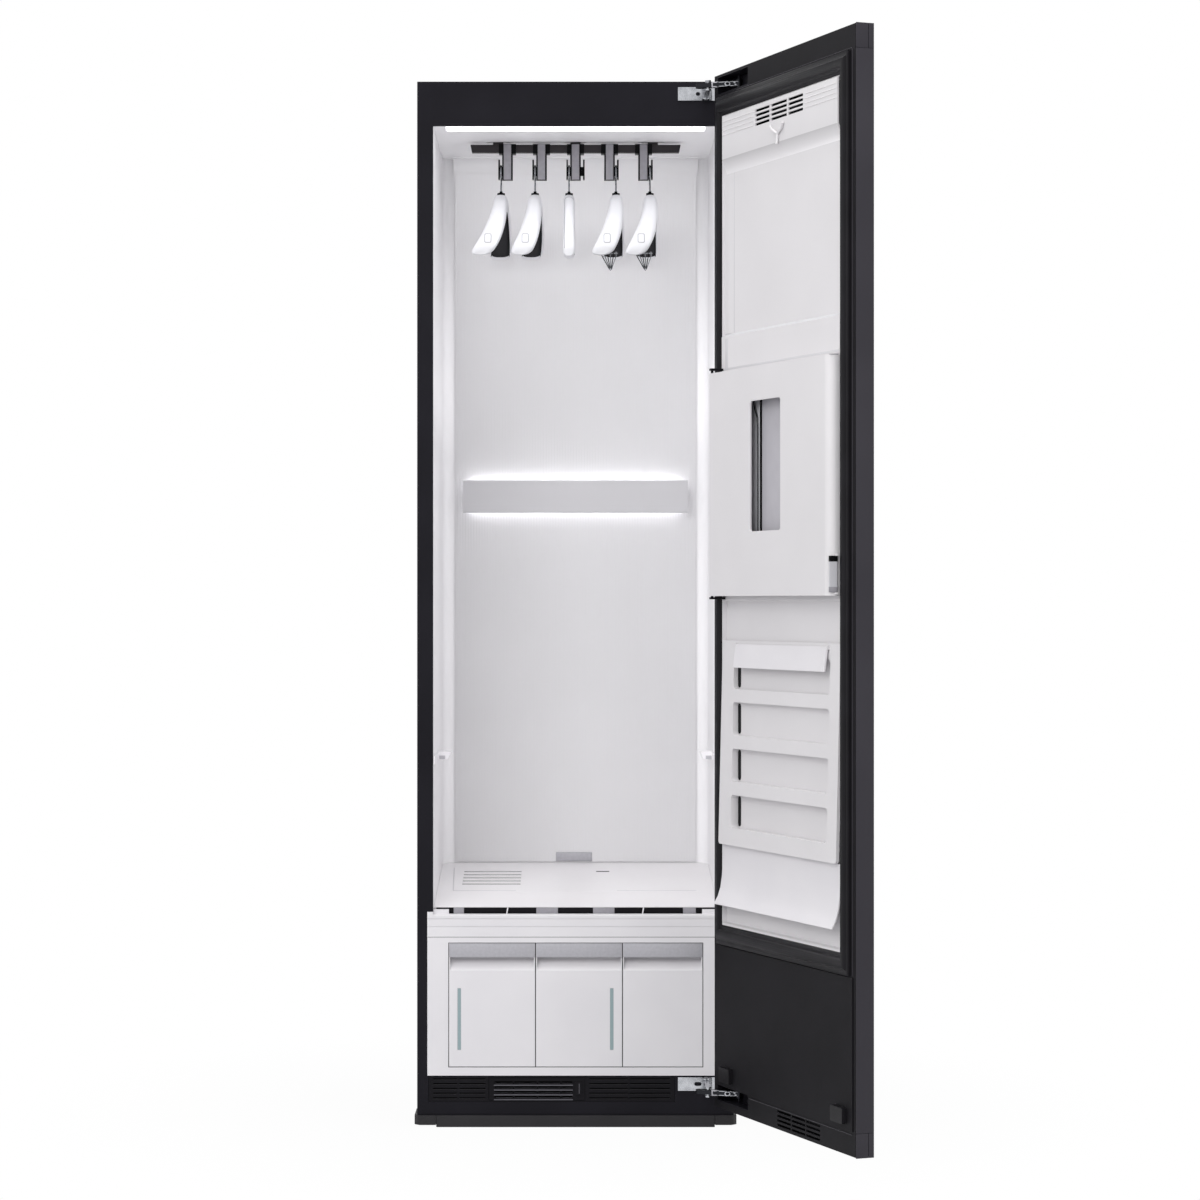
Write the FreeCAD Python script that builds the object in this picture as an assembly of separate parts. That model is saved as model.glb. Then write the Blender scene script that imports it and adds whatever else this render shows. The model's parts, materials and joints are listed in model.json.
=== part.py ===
import FreeCAD, Part
import math
import os

# Clothes care steam cabinet, in millimetres. +Z is up, +X is to the right seen from the front, and the
# front faces -Y. The origin is on the floor, under the middle of the cabinet's body.
# The door is built as if shut and then swung to the open position in which the cabinet is stored.

point = FreeCAD.Vector

# ---------------------------------------------------------------- driving sizes
body_width = 594.0
body_height = 1960.0
body_depth = 550.0
steel = 1.2
base_z = 22.0

half_width = body_width / 2
front_y = -body_depth / 2
back_y = body_depth / 2
frame_y = front_y + 1.0
frame_back_y = frame_y + 3.0

cavity_half = 267.0
cavity_floor = 388.0
cavity_top = 1876.0
cavity_back_y = front_y + 445.0
tub_wall = 3.0
tub_corner = 20.0
cove_radius = 34.0
light_edges = (-244.0, 244.0, front_y + 7, front_y + 60)

floor_front, floor_back = 25.0, 444.0
floor_front_z, floor_back_z = 410.5, 459.0
floor_thickness = 3.5

white_half = 278.0
sill_low, sill_high, sill_ends_high = 356.0, 398.0, 403.0
fascia_low, fascia_high = 96.0, 355.4
fascia_y = front_y + 3.0

bay_low, bay_high = 112.0, 345.0
bay_edges = [-238.0, -75.0, 88.0, 239.0]
bay_back_y = 40.0
drawer_gap = 0.8

kick_low, kick_high = 47.0, 94.0
kick_left, kick_right = -276.0, 186.0
louvre_left, louvre_right = -163.0, 18.0

rail_y = front_y + 215.0
rail_half = 204.0
rail_low, rail_high = 1856.0, 1871.0
holder_pitch = 66.0
hook_offset = 12.5
hook_pivot_z = 1820.0
saddle_radius = 9.0
collar_top = 1777.0

door_width = 595.6
door_low, door_high = 49.5, 1958.0
door_depth = 34.0
door_gap = 12.0
door_open_angle = 111.0
hinge_x, hinge_y = 298.3, front_y - 56.75
door_edge_x = half_width
door_face_y = front_y - door_gap

liner_u = (45.6, 548.0)
liner_z = (391.0, 1877.0)
press_z = (995.0, 1403.0)
rack_z = (541.0, 914.0)

# Each hinge is an arm pinned on the cabinet and a slotted link pinned in the door. Both turn at a steady
# rate with the door, and the arm's pin then stays within pin_wander of the middle of the link's slot.
hinge_levels = [80.5, 1936.5]
arm_pivot_x, arm_pivot_f = 243.7, 17.9
arm_length, arm_start_angle, arm_ratio = 79.62, 183.73, -0.849
link_pivot_u, link_pivot_h = 59.5, -24.0
link_angle_shut, link_ratio = -162.96, 1.0563
link_near, link_far = 61.1, 76.8
pin_radius, pin_wander = 3.0, 0.8
hinge_axle = 2.5
axle_room = 0.05
pocket_u = (14.0, 154.0)
pocket_half, pocket_depth = 17.0, 31.0


# ---------------------------------------------------------------- small helpers
def box(x0, x1, y0, y1, z0, z1):
    return Part.makeBox(x1 - x0, y1 - y0, z1 - z0, point(x0, y0, z0))


def rod(x, y, z, radius, length, axis):
    return Part.makeCylinder(radius, length, point(x, y, z), point(*axis))


def prism(corners, axis, low, high):
    """A flat outline pushed along an axis. Corners are (y, z) for X, (x, z) for Y and (x, y) for Z."""
    place = {
        "X": lambda a, b: point(low, a, b),
        "Y": lambda a, b: point(a, low, b),
        "Z": lambda a, b: point(a, b, low),
    }[axis]
    way = {"X": point(high - low, 0, 0), "Y": point(0, high - low, 0), "Z": point(0, 0, high - low)}[axis]
    ring = [place(a, b) for a, b in corners]
    return Part.Face(Part.makePolygon(ring + ring[:1])).extrude(way)


def along(edge, axis):
    """Whether a straight edge runs along an axis."""
    box_of = edge.BoundBox
    lengths = {"X": box_of.XLength, "Y": box_of.YLength, "Z": box_of.ZLength}
    return lengths[axis] > 1e-6 and sum(lengths.values()) - lengths[axis] < 1e-6


def rounded(shape, radius, axis, wanted=lambda centre: True):
    edges = [e for e in shape.Edges if along(e, axis) and wanted(e.BoundBox.Center)]
    return shape.makeFillet(radius, edges)


def rounded_box(x0, x1, y0, y1, z0, z1, radius, axis):
    return rounded(box(x0, x1, y0, y1, z0, z1), radius, axis)


def join(shapes):
    result = shapes[0]
    if len(shapes) > 1:
        result = result.multiFuse(shapes[1:])
    return result.removeSplitter()


def save(name, *solids):
    shape = solids[0] if len(solids) == 1 else Part.makeCompound(list(solids))
    if not shape.isValid():
        print("not valid:", name)
    shape.exportStep("parts/" + name + ".step")


def door_box(u0, u1, h0, h1, z0, z1):
    """A block on the shut door: u runs from the hinge edge, h from the inner face towards the cabinet."""
    return box(door_edge_x - u1, door_edge_x - u0, door_face_y + h0, door_face_y + h1, z0, z1)


def door_profile(corners, u0, u1):
    """An (h, z) outline pushed along the width of the shut door."""
    ring = [(door_face_y + h, z) for h, z in corners]
    return prism(ring, "X", door_edge_x - u1, door_edge_x - u0)


def swing_open(shape):
    turned = shape.copy()
    turned.rotate(point(hinge_x, hinge_y, 0), point(0, 0, 1), door_open_angle)
    return turned


def save_on_door(name, *solids):
    save(name, *[swing_open(solid) for solid in solids])


# ---------------------------------------------------------------- casing and base
def outer_casing():
    outer = box(-half_width, half_width, frame_back_y, back_y - 1.5, base_z, body_height)
    inner = box(
        -half_width + steel, half_width - steel, frame_back_y - 1, back_y, base_z - 1, body_height - steel
    )
    return outer.cut(inner)


def back_cover():
    plate = box(-half_width + 1, half_width - 1, back_y - 1.5, back_y, base_z + 2, body_height - 1)
    slots = [box(40, 220, back_y - 3, back_y + 1, z, z + 6) for z in range(90, 200, 18)]
    return plate.cut(Part.makeCompound(slots))


def base_pan():
    outer = box(-half_width + 1.5, half_width - 1.5, frame_back_y + 0.2, back_y - 1.7, base_z, base_z + 22)
    inner = box(
        -half_width + 3.5, half_width - 3.5, frame_back_y + 2.2, back_y - 3.7, base_z + 2, base_z + 30
    )
    return outer.cut(inner)


def front_frame():
    plate = box(-half_width, half_width, frame_y, frame_back_y, base_z, body_height)
    cavity = box(-cavity_half, cavity_half, frame_y - 1, frame_back_y + 1, fascia_low, cavity_top + 0.5)
    lower = box(-white_half, white_half, frame_y - 1, frame_back_y + 1, fascia_low, sill_ends_high)
    kick = box(kick_left, kick_right, frame_y - 1, frame_back_y + 1, kick_low, kick_high)
    return plate.cut(cavity).cut(lower).cut(kick)


def plinth():
    """The skirt that the cabinet stands on, a front bar with side returns, and two corner pieces."""
    front = front_y - 5.0
    skirt = [box(-261.0, 261.0, front, front + 18, 0, base_z)]
    for side in (-1, 1):
        skirt.append(box(side * 258.5 - 2.5, side * 258.5 + 2.5, front + 17, back_y - 35, 0, base_z))
    pieces = [join(skirt)]
    for side in (-1, 1):
        outline = [(261.2, front), (292, front), (302, front + 10), (302, front + 86), (290, front + 86)]
        outline += [(290, front + 18), (261.2, front + 18)]
        corner = prism([(side * x, y) for x, y in outline], "Z", 4.0, base_z)
        pieces.append(corner)
    return pieces


def levelling_feet():
    feet = []
    for x in (-225.0, 225.0):
        for y in (-225.0, 225.0):
            pad = rod(x, y, 0, 21, 6, (0, 0, 1))
            stem = rod(x, y, 5, 7, base_z - 5, (0, 0, 1))
            feet.append(join([pad, stem]))
    return feet


# ---------------------------------------------------------------- cavity
def cavity_shape(shrink):
    """The space inside the tub, made smaller all round by shrink."""
    shape = box(
        -cavity_half + shrink,
        cavity_half - shrink,
        frame_back_y - 1,
        cavity_back_y - shrink,
        cavity_floor + shrink,
        cavity_top - shrink,
    )
    shape = rounded(shape, tub_corner - shrink, "Z", lambda c: c.y > cavity_back_y - 5)
    return shape


def rail_slots(half_travel):
    """Openings in the ceiling for the rail's three bosses."""
    reach = 10 + half_travel
    return [
        box(x - reach, x + reach, rail_y - 7, rail_y + 7, cavity_top - 5, cavity_top + 9)
        for x in (-150.0, 0.0, 150.0)
    ]


def inner_tub():
    outer = box(
        -cavity_half - tub_wall,
        cavity_half + tub_wall,
        frame_back_y,
        cavity_back_y + tub_wall,
        cavity_floor - tub_wall,
        cavity_top + tub_wall,
    )
    outer = rounded(outer, tub_corner + tub_wall, "Z", lambda c: c.y > cavity_back_y)
    tub = outer.cut(cavity_shape(0))
    x0, x1, y0, y1 = light_edges
    lamp_hole = box(x0, x1, y0, y1, cavity_top - 1, cavity_top + 9)
    return tub.cut(Part.makeCompound(rail_slots(12.0) + [lamp_hole]))


def back_wall_panel():
    """The panel over the air outlet, with the cove that leads it into the ceiling."""
    low, top = cavity_back_y - cove_radius, cavity_top - cove_radius
    cove = box(-246.0, 246.0, low, cavity_back_y, top, cavity_top)
    cove = cove.cut(rod(-250.0, low, top, cove_radius - 2, 500, (1, 0, 0)))
    panel = box(-242.5, 242.5, cavity_back_y - 4, cavity_back_y, floor_back_z + 3, top + 2)
    return join([panel, cove])


def ceiling_light_lens():
    x0, x1, y0, y1 = light_edges
    return box(x0 + 0.3, x1 - 0.3, y0 + 0.3, y1 - 0.3, cavity_top - 0.4, cavity_top + 3)


def light_boards():
    ceiling = box(-235, 235, front_y + 15, front_y + 50, cavity_top + 3, cavity_top + 6)
    wall = box(-208, 208, cavity_back_y - 7, cavity_back_y - 4, 1188, 1203)
    return [ceiling, wall]


def wall_light_cover():
    front = cavity_back_y - 32
    cover = rounded_box(-225, 225, front, front + 11, 1163, 1228, 2.5, "X")
    posts = [box(x - 3, x + 3, front + 10, cavity_back_y - 4, 1190, 1201) for x in (-218.0, 218.0)]
    return join([cover] + posts)


def shelf_supports():
    pieces = []
    for side in (-1, 1):
        wall = sorted([side * cavity_half, side * (cavity_half - 3)])
        plate = box(wall[0], wall[1], front_y + 10, front_y + 250, 679, 694)
        inner = cavity_half - 3
        ledge = [(inner, 679), (inner - 17, 679), (inner - 23, 694), (inner, 694)]
        shelf = prism([(side * x, z) for x, z in ledge], "Y", front_y + 200, front_y + 250)
        pieces.append(join([plate, shelf]))
    return pieces


def floor_height(depth):
    """The height of the sloping floor cover at a depth behind the front plane."""
    slope = (floor_back_z - floor_front_z) / (floor_back - floor_front)
    return floor_front_z + slope * (depth - floor_front)


def floor_duct_cover():
    top = [(front_y + d, floor_height(d)) for d in (floor_front, floor_back)]
    under = [(y, z - floor_thickness) for y, z in reversed(top)]
    plate = prism(top + under, "X", -cavity_half, cavity_half)
    slots = []
    for i in range(5):
        start = 230 + i * 30.0
        slots.append(box(-221, -107, front_y + start, front_y + start + 9, floor_height(start) - 9, 470))
    seam = box(-240, 240, front_y + 164.4, front_y + 165.6, floor_height(165) - 1.0, 470)
    slots.append(seam)
    near, far = front_y + 60, front_y + 420
    rib_outline = [(near, cavity_floor), (far, cavity_floor), (far, 453), (near, 409)]
    ribs = [prism(rib_outline, "X", x - 2, x + 2) for x in (-90.0, 90.0)]
    return join([plate.cut(Part.makeCompound(slots))] + ribs).common(cavity_shape(0.2))


def sill():
    """The white lip below the cavity. The machine draws its air through the slot left above it."""
    lip = box(-white_half, white_half, front_y, front_y + 4, sill_low, sill_high)
    lip = rounded(lip, 1.8, "X", lambda c: c.z > sill_high - 1 and c.y < front_y + 1)
    groove_x = white_half + 1
    grooves = [box(-groove_x, groove_x, front_y - 1, front_y + 1.2, z, z + 1.4) for z in (375.0, 389.5)]
    shelf = box(-cavity_half + 0.5, cavity_half - 0.5, front_y + 3, front_y + 19, sill_high - 3, sill_high)
    pieces = [lip.cut(Part.makeCompound(grooves)), shelf]
    for side in (-1, 1):
        a, b = sorted([side * (cavity_half + 0.1), side * white_half])
        pieces.append(box(a, b, front_y, front_y + 4, sill_high - 3, sill_ends_high))
        a, b = sorted([side * 238.0, side * (cavity_half - 0.5)])
        under_floor = floor_front_z - floor_thickness - 0.5
        pieces.append(box(a, b, front_y + 12, front_y + 19, sill_high - 1, under_floor))
    return join(pieces)


# ---------------------------------------------------------------- lower front
def lower_fascia():
    plate = box(-white_half, white_half, front_y, fascia_y, fascia_low, fascia_high)
    plate = rounded(plate, 1.5, "Z", lambda c: c.y < front_y + 1)
    opening = box(bay_edges[0], bay_edges[-1], front_y - 1, fascia_y + 1, bay_low, bay_high)
    return plate.cut(opening)


def tank_bay():
    left, right = bay_edges[0] - 2.5, bay_edges[-1] + 2.5
    outer = box(left, right, fascia_y, bay_back_y, bay_low - 3, bay_high + 3)
    rooms = []
    edges = [bay_edges[0] - 0.5] + bay_edges[1:-1] + [bay_edges[-1] + 0.5]
    for a, b in zip(edges, edges[1:]):
        rooms.append(box(a + 0.8, b - 0.8, fascia_y - 1, bay_back_y - 2, bay_low - 1, bay_high + 1))
    return outer.cut(Part.makeCompound(rooms))


def drawer_front(left, right, window_x):
    """A moulded front with a finger scoop under the grip strip at its top."""
    x0, x1 = left + drawer_gap, right - drawer_gap
    y = front_y
    low, high = bay_low + drawer_gap, bay_high - drawer_gap
    outline = [(y, low), (y, 293), (y + 20, 312), (y + 22, 318), (y + 22, 338), (y + 5, 338), (y + 5, 318)]
    outline += [(y, 318), (y, high), (y + 25, high), (y + 25, 311), (y + 3, 290), (y + 3, low)]
    shell = prism(outline, "X", x0, x1)
    cheek = [(y + 0.6, 293), (y + 3, 290), (y + 25, 311), (y + 25, high), (y + 0.6, high)]
    cheeks = [prism(cheek, "X", x0, x0 + 2), prism(cheek, "X", x1 - 2, x1)]
    front = join([shell] + cheeks)
    if window_x is not None:
        front = front.cut(box(window_x - 3.25, window_x + 3.25, y - 1, y + 4, 144, 260))
    return front


def drawer_bin(left, right, window_x):
    """An open-topped bin behind a drawer front, with a rib that fills the level window."""
    x0, x1 = left + 3.0, right - 3.0
    outer = box(x0, x1, front_y + 3, bay_back_y - 8, bay_low + 2, 286)
    outer = rounded(outer, 6, "Z", lambda c: c.y > 0)
    inner = box(x0 + 2.5, x1 - 2.5, front_y + 5.5, bay_back_y - 10.5, bay_low + 4.5, 300)
    inner = rounded(inner, 4, "Z")
    shape = outer.cut(inner)
    if window_x is not None:
        shape = join([shape, box(window_x - 3.2, window_x + 3.2, front_y + 0.4, front_y + 4, 144.1, 259.9)])
    return shape


def slotted(plate, x0, x1, y0, y1, rows):
    slots = [box(x0, x1, y0, y1, z, z + height) for z, height in rows]
    return plate.cut(Part.makeCompound(slots))


def kick_grille():
    plate = box(kick_left + 0.3, kick_right - 0.3, frame_y, frame_back_y + 3, kick_low + 0.3, kick_high - 0.3)
    plate = plate.cut(box(louvre_left, louvre_right, frame_y - 1, frame_back_y + 9, 49, 92))
    rows = [(52.5 + i * 8.9, 2.6) for i in range(5)]
    left_groups = [(kick_left + 9, -222), (-218, louvre_left - 6)]
    right_groups = [(louvre_right + 8, 98), (102, kick_right - 9)]
    for x0, x1 in left_groups + right_groups:
        plate = slotted(plate, x0, x1, frame_y - 1, frame_back_y + 9, rows)
    return plate


def kick_louvre():
    plate = box(louvre_left + 0.8, louvre_right - 0.8, frame_y - 0.5, frame_back_y + 4, 49.8, 91.2)
    rows = [(54.0 + i * 9.0, 4.6) for i in range(4)]
    for x0, x1 in ((-152, -118), (-115, -73), (-70, -29), (-26, -6)):
        plate = slotted(plate, x0, x1, frame_y - 2, frame_back_y + 9, rows)
    catch = rounded_box(-1, 12, frame_y - 3.5, frame_y, 60, 84, 2.5, "Y")
    return join([plate, catch])


# ---------------------------------------------------------------- machine room
def compressor():
    x, y, floor = 160.0, 160.0, base_z + 2
    shell = rod(x, y, floor + 22, 62, 170, (0, 0, 1))
    dome = Part.makeSphere(62, point(x, y, floor + 192), point(0, 0, 1), 0, 90, 360)
    plate = box(x - 75, x + 75, y - 60, y + 60, floor + 18, floor + 22)
    feet = [rod(x + dx, y + dy, floor, 9, 18, (0, 0, 1)) for dx in (-62, 62) for dy in (-48, 48)]
    return join([shell, dome, plate] + feet)


def heat_exchanger():
    x0, x1, y0, y1, z0, z1 = -85.0, 75.0, 60.0, 160.0, 180.0, 330.0
    fins = [box(x, x + 2, y0, y1, z0, z1) for x in range(int(x0) + 8, int(x1) - 8, 12)]
    tubes = [rod(x0, y, z, 5, x1 - x0, (1, 0, 0)) for y in (80, 110, 140) for z in (205, 240, 275, 310)]
    ends = [box(x0, x0 + 3, y0, y1, base_z + 2, z1), box(x1 - 3, x1, y0, y1, base_z + 2, z1)]
    return join(fins + tubes + ends)


fan_x, fan_y, fan_z = -20.0, 180.0, 270.0
fan_radius = 68.0


def fan_housing():
    case = box(fan_x - 90, fan_x + 90, fan_y, fan_y + 62, fan_z - 90, fan_z + 110)
    room = rod(fan_x, fan_y + 3, fan_z, fan_radius + 6, 56, (0, 1, 0))
    outlet = box(fan_x - 74, fan_x + 74, fan_y + 3, fan_y + 59, fan_z, fan_z + 111)
    inlet = rod(fan_x, fan_y - 1, fan_z, 48, 10, (0, 1, 0))
    motor = rod(fan_x, fan_y + 62, fan_z, 34, 22, (0, 1, 0))
    shaft = rod(fan_x, fan_y + 12, fan_z, 4, 60, (0, 1, 0))
    legs = [
        box(fan_x + dx - 8, fan_x + dx + 8, fan_y + 20, fan_y + 42, base_z + 2, fan_z - 90)
        for dx in (-70, 70)
    ]
    return join([case.cut(room).cut(outlet).cut(inlet), motor, shaft] + legs)


def fan_wheel():
    y0, y1 = fan_y + 8, fan_y + 54
    hub = rod(fan_x, y0 + 4, fan_z, 14, y1 - y0 - 4, (0, 1, 0))
    disc = rod(fan_x, y1 - 3, fan_z, fan_radius, 3, (0, 1, 0))
    ring = rod(fan_x, y0, fan_z, fan_radius, 3, (0, 1, 0))
    ring = ring.cut(rod(fan_x, y0 - 1, fan_z, fan_radius - 14, 6, (0, 1, 0)))
    blades = []
    for i in range(24):
        blade = box(fan_x + fan_radius - 13, fan_x + fan_radius - 1, y0 + 1, y1 - 1, fan_z - 0.8, fan_z + 0.8)
        blade.rotate(point(fan_x + fan_radius - 7, 0, fan_z), point(0, 1, 0), 35)
        blade.rotate(point(fan_x, 0, fan_z), point(0, 1, 0), i * 15)
        blades.append(blade)
    bore = rod(fan_x, y0 - 5, fan_z, 4.05, 80, (0, 1, 0))
    return join([hub, disc, ring] + blades).cut(bore)


def steam_generator():
    tank = rounded_box(-235, -115, 70, 170, base_z + 2, 150, 14, "Z")
    lid = rounded_box(-240, -110, 65, 175, 150, 158, 16, "Z")
    pipe = rod(-175, 120, 158, 8, 130, (0, 0, 1))
    elbow = rod(-175, 120, 282, 8, 70, (0, 1, 0))
    return join([tank, lid, pipe, elbow])


def water_pumps():
    pumps = []
    level = base_z + 18
    for y in (84.0, 128.0):
        body = rod(-70, y, level, 14, 62, (1, 0, 0))
        head = rod(-9, y, level, 11, 18, (1, 0, 0))
        foot = box(-60, -24, y - 10, y + 10, base_z + 2, level - 8)
        spout = rod(0, y, level + 6, 4, 34, (0, 0, 1))
        pumps.append(join([body, head, foot, spout]))
    return pumps


def control_board():
    tray = box(120, 262, 178, 268, cavity_top + 20, cavity_top + 24)
    board = box(126, 256, 184, 262, cavity_top + 24, cavity_top + 26)
    parts = [rod(150 + i * 24, 205, cavity_top + 26, 7, 22, (0, 0, 1)) for i in range(4)]
    block = box(140, 180, 226, 256, cavity_top + 26, cavity_top + 44)
    wall = box(120, 124, 178, 268, cavity_top + 20, body_height - steel)
    return join([tray, board, block, wall] + parts)


def air_duct():
    outer = box(-105, 65, cavity_back_y + tub_wall + 4, cavity_back_y + tub_wall + 70, 380, 1700)
    inner = box(-103, 63, cavity_back_y + tub_wall + 6, cavity_back_y + tub_wall + 68, 379, 1698)
    outlets = [box(-103, 63, cavity_back_y, cavity_back_y + 20, z, z + 12) for z in range(1600, 1690, 24)]
    return outer.cut(inner).cut(Part.makeCompound(outlets))


def power_inlet():
    flange = rounded_box(-265, -229, back_y, back_y + 3, 64, 100, 6, "Y")
    gland = rod(-247, back_y, 82, 11, 14, (0, 1, 0))
    bore = rod(-247, back_y + 4, 82, 4.5, 20, (0, 1, 0))
    return join([flange, gland]).cut(bore)


# ---------------------------------------------------------------- moving hanger rail
crank_radius = 11.547
crank_y = rail_y - crank_radius
shoe_low = cavity_top + tub_wall + 0.3
shoe_high = shoe_low + 6


def hanger_rail():
    """The bar, its three bosses through the ceiling and the shoes that slide on top of it."""
    foot = rail_half - 3
    ends = [(-rail_half, rail_high), (rail_half, rail_high), (foot, rail_low), (-foot, rail_low)]
    bar = prism(ends, "Y", rail_y - 8, rail_y + 8)
    pieces = [bar]
    for x in (-150.0, 0.0, 150.0):
        pieces.append(box(x - 10, x + 10, rail_y - 6, rail_y + 6, rail_high, shoe_low))
        pieces.append(box(x - 26, x + 26, rail_y - 15, rail_y + 15, shoe_low, shoe_high))
    slot = box(-4.0, 4.0, rail_y - 11, rail_y + 5, shoe_low - 2, shoe_high + 2)
    return join(pieces).cut(slot)


def rail_crank():
    disc = rod(0, crank_y, shoe_high + 1.5, 19, 5, (0, 0, 1))
    hub = rod(0, crank_y, shoe_high + 6, 9, 8, (0, 0, 1))
    pin = rod(0, rail_y, shoe_low + 1, 3, shoe_high - shoe_low + 2, (0, 0, 1))
    bore = rod(0, crank_y, shoe_high, 4.05, 20, (0, 0, 1))
    return join([disc, hub, pin]).cut(bore)


def rail_motor():
    top = shoe_high + 15.5
    plate = box(-50, 50, crank_y - 26, crank_y + 26, top, top + 3)
    legs = [box(x - 2, x + 2, crank_y - 26, crank_y + 26, cavity_top + tub_wall, top) for x in (-48.0, 48.0)]
    body = rod(0, crank_y, top + 3, 24, 38, (0, 0, 1))
    shaft = rod(0, crank_y, shoe_high + 2, 4, top - shoe_high, (0, 0, 1))
    return join([plate, body, shaft] + legs)


holder_places = [(-2, (-1,)), (-1, (-1,)), (0, (-1, 1)), (1, (1,)), (2, (1,))]
hanger_places = [(-2, -1), (-1, -1), (0, -1), (1, 1), (2, 1)]


def rail_holders():
    """Black clamps on the rail, each with a grooved saddle that takes a hanger's hook."""
    holders = []
    for step, sides in holder_places:
        x = step * holder_pitch
        clamp = box(x - 16.5, x + 16.5, rail_y - 11, rail_y + 11, rail_low - 3, rail_high + 1)
        clamp = clamp.cut(box(x - 20, x + 20, rail_y - 8, rail_y + 8, rail_low, rail_high + 5))
        stem = box(x - 10.2, x + 10.2, rail_y - 9, rail_y + 9, 1803, rail_low - 2)
        pieces = [clamp, stem]
        for side in sides:
            a, b = sorted([x + side * 10, x + side * 16])
            pieces.append(rod(a, rail_y, hook_pivot_z, saddle_radius, b - a, (1, 0, 0)))
            a, b = sorted([x + side * 14.7, x + side * 17.7])
            pieces.append(rounded_box(a, b, rail_y - 13, rail_y + 13, 1804, 1842, 5, "X"))
        holders.append(join(pieces))
    return holders


def holder_faces():
    faces = []
    for step, sides in holder_places:
        x = step * holder_pitch
        plate = box(x - 7.3, x + 7.3, rail_y - 14, rail_y - 11, 1803, rail_high)
        tab = box(x - 5, x + 5, rail_y - 11, rail_y - 9, 1806, 1850)
        faces.append(join([rounded(plate, 1.2, "Z", lambda c: c.y < rail_y - 13), tab]))
    return faces


# distance from the neck, top, underside, half thickness
shoulder = [
    (0.0, 1774.0, 1740.0, 13.0),
    (45.0, 1770.5, 1733.5, 13.5),
    (90.0, 1754.0, 1715.0, 15.5),
    (130.0, 1727.0, 1685.0, 18.5),
    (160.0, 1698.5, 1661.5, 20.0),
    (182.0, 1671.5, 1650.5, 15.0),
]


def shoulder_ring(x, y, top, under, half, curve):
    """An eight-cornered section across a hanger's arm, carried further towards -X the lower it is."""
    middle = (top + under) / 2
    tall = (top - under) / 2
    corners = [(0.55, 1.0), (1.0, 0.45), (1.0, -0.45), (0.55, -1.0)]
    corners += [(-a, b) for a, b in corners[::-1]]
    ring = []
    for a, b in corners:
        z = middle + b * tall
        sweep = curve * (max(shoulder[0][1] - z, 0) / 100.0) ** 3
        ring.append(point(x - sweep + a * half, y, z))
    return Part.makePolygon(ring + ring[:1])


def hanger(step, side, curve, yaw, lean, straight_half):
    """A moulded hanger with its wire hook. Its arms run front to back and curve towards -X.

    It hangs with its front arm lower by lean, so its middle is balanced a little in front of the hook.
    """
    x = step * holder_pitch + side * hook_offset
    rings = []
    for way in (-1, 1):
        for away, top, under, half in shoulder:
            if away > 0 or way > 0:
                half = straight_half or half
                ring = shoulder_ring(x, rail_y + way * away, top, under, half, curve)
                rings.append((way * away, ring))
    rings.sort(key=lambda pair: pair[0])
    body = Part.makeLoft([ring for place, ring in rings], True, True)
    body.rotate(point(x, rail_y, collar_top), point(1, 0, 0), lean)
    body.translate(point(0, rail_y - body.CenterOfGravity.y, 0))
    body.rotate(point(x, rail_y, 0), point(0, 0, 1), yaw)
    body = join([body, rod(x, rail_y, collar_top - 12, 8, 12, (0, 0, 1))])
    radius, wire = 19.0, 1.7
    middle = hook_pivot_z + saddle_radius + 0.3 + wire - radius
    section = Part.Face(Part.Wire(Part.makeCircle(wire, point(x, rail_y + radius, middle), point(0, 0, 1))))
    hook = section.revolve(point(x, rail_y, middle), point(1, 0, 0), 235)
    hook.rotate(point(x, rail_y, middle), point(1, 0, 0), -35)
    neck_top = middle - radius * math.sin(math.radians(35))
    neck = rod(x, rail_y, collar_top, wire, middle - radius - collar_top, (0, 0, 1))
    lead = Part.makeCylinder(
        wire,
        math.hypot(radius * math.cos(math.radians(35)), neck_top - middle + radius),
        point(x, rail_y, middle - radius),
        point(0, radius * math.cos(math.radians(35)), neck_top - middle + radius),
    )
    joint = Part.makeSphere(wire, point(x, rail_y, middle - radius))
    return [body, join([hook, neck, lead, joint])]


# curve, yaw and lean of each hanger, and its half thickness where it is straight
hangers = [
    (14.0, -3.8, 4.5, None),
    (13.0, -1.8, 4.5, None),
    (0.0, 0.0, 5.4, 11.0),
    (12.0, -3.8, 4.5, None),
    (13.0, -4.4, 4.5, None),
]


# ---------------------------------------------------------------- door
def door_panel():
    tray = door_box(0, door_width, -door_depth, -4, door_low, door_high)
    return tray.cut(door_box(1.5, door_width - 1.5, -door_depth + 1.5, 0, door_low + 1.5, door_high - 1.5))


def pocket(level, grow):
    """The recess that a hinge folds into."""
    half = pocket_half + grow
    return door_box(pocket_u[0] - grow, pocket_u[1] + grow, -pocket_depth, 3, level - half, level + half)


def door_frame():
    frame = door_box(1.5, door_width - 1.5, -door_depth + 1.5, 0, door_low + 1.5, door_high - 1.5)
    hollow = door_box(6, door_width - 6, -door_depth, -4, door_low + 6, door_high - 6)
    around_liner = door_box(liner_u[0] - 3, liner_u[1] + 3, -door_depth, -4, liner_z[0] - 3, liner_z[1] + 3)
    frame = frame.cut(hollow)
    rim = around_liner.cut(
        door_box(liner_u[0], liner_u[1], -door_depth - 1, 0, liner_z[0], liner_z[1])
    ).common(door_box(0, door_width, -door_depth + 1.5, -3, door_low, door_high))
    frame = join([frame, rim]).cut(door_box(liner_u[0], liner_u[1], -5, 1, liner_z[0], liner_z[1]))
    vents = [
        door_box(280 + i * 60, 336 + i * 60, -6, 1, 57 + k * 8.0, 61 + k * 8.0)
        for i in range(3)
        for k in range(4)
    ]
    cuts = vents + [pocket(level, 0.2) for level in hinge_levels]
    return frame.cut(Part.makeCompound(cuts))


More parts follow.
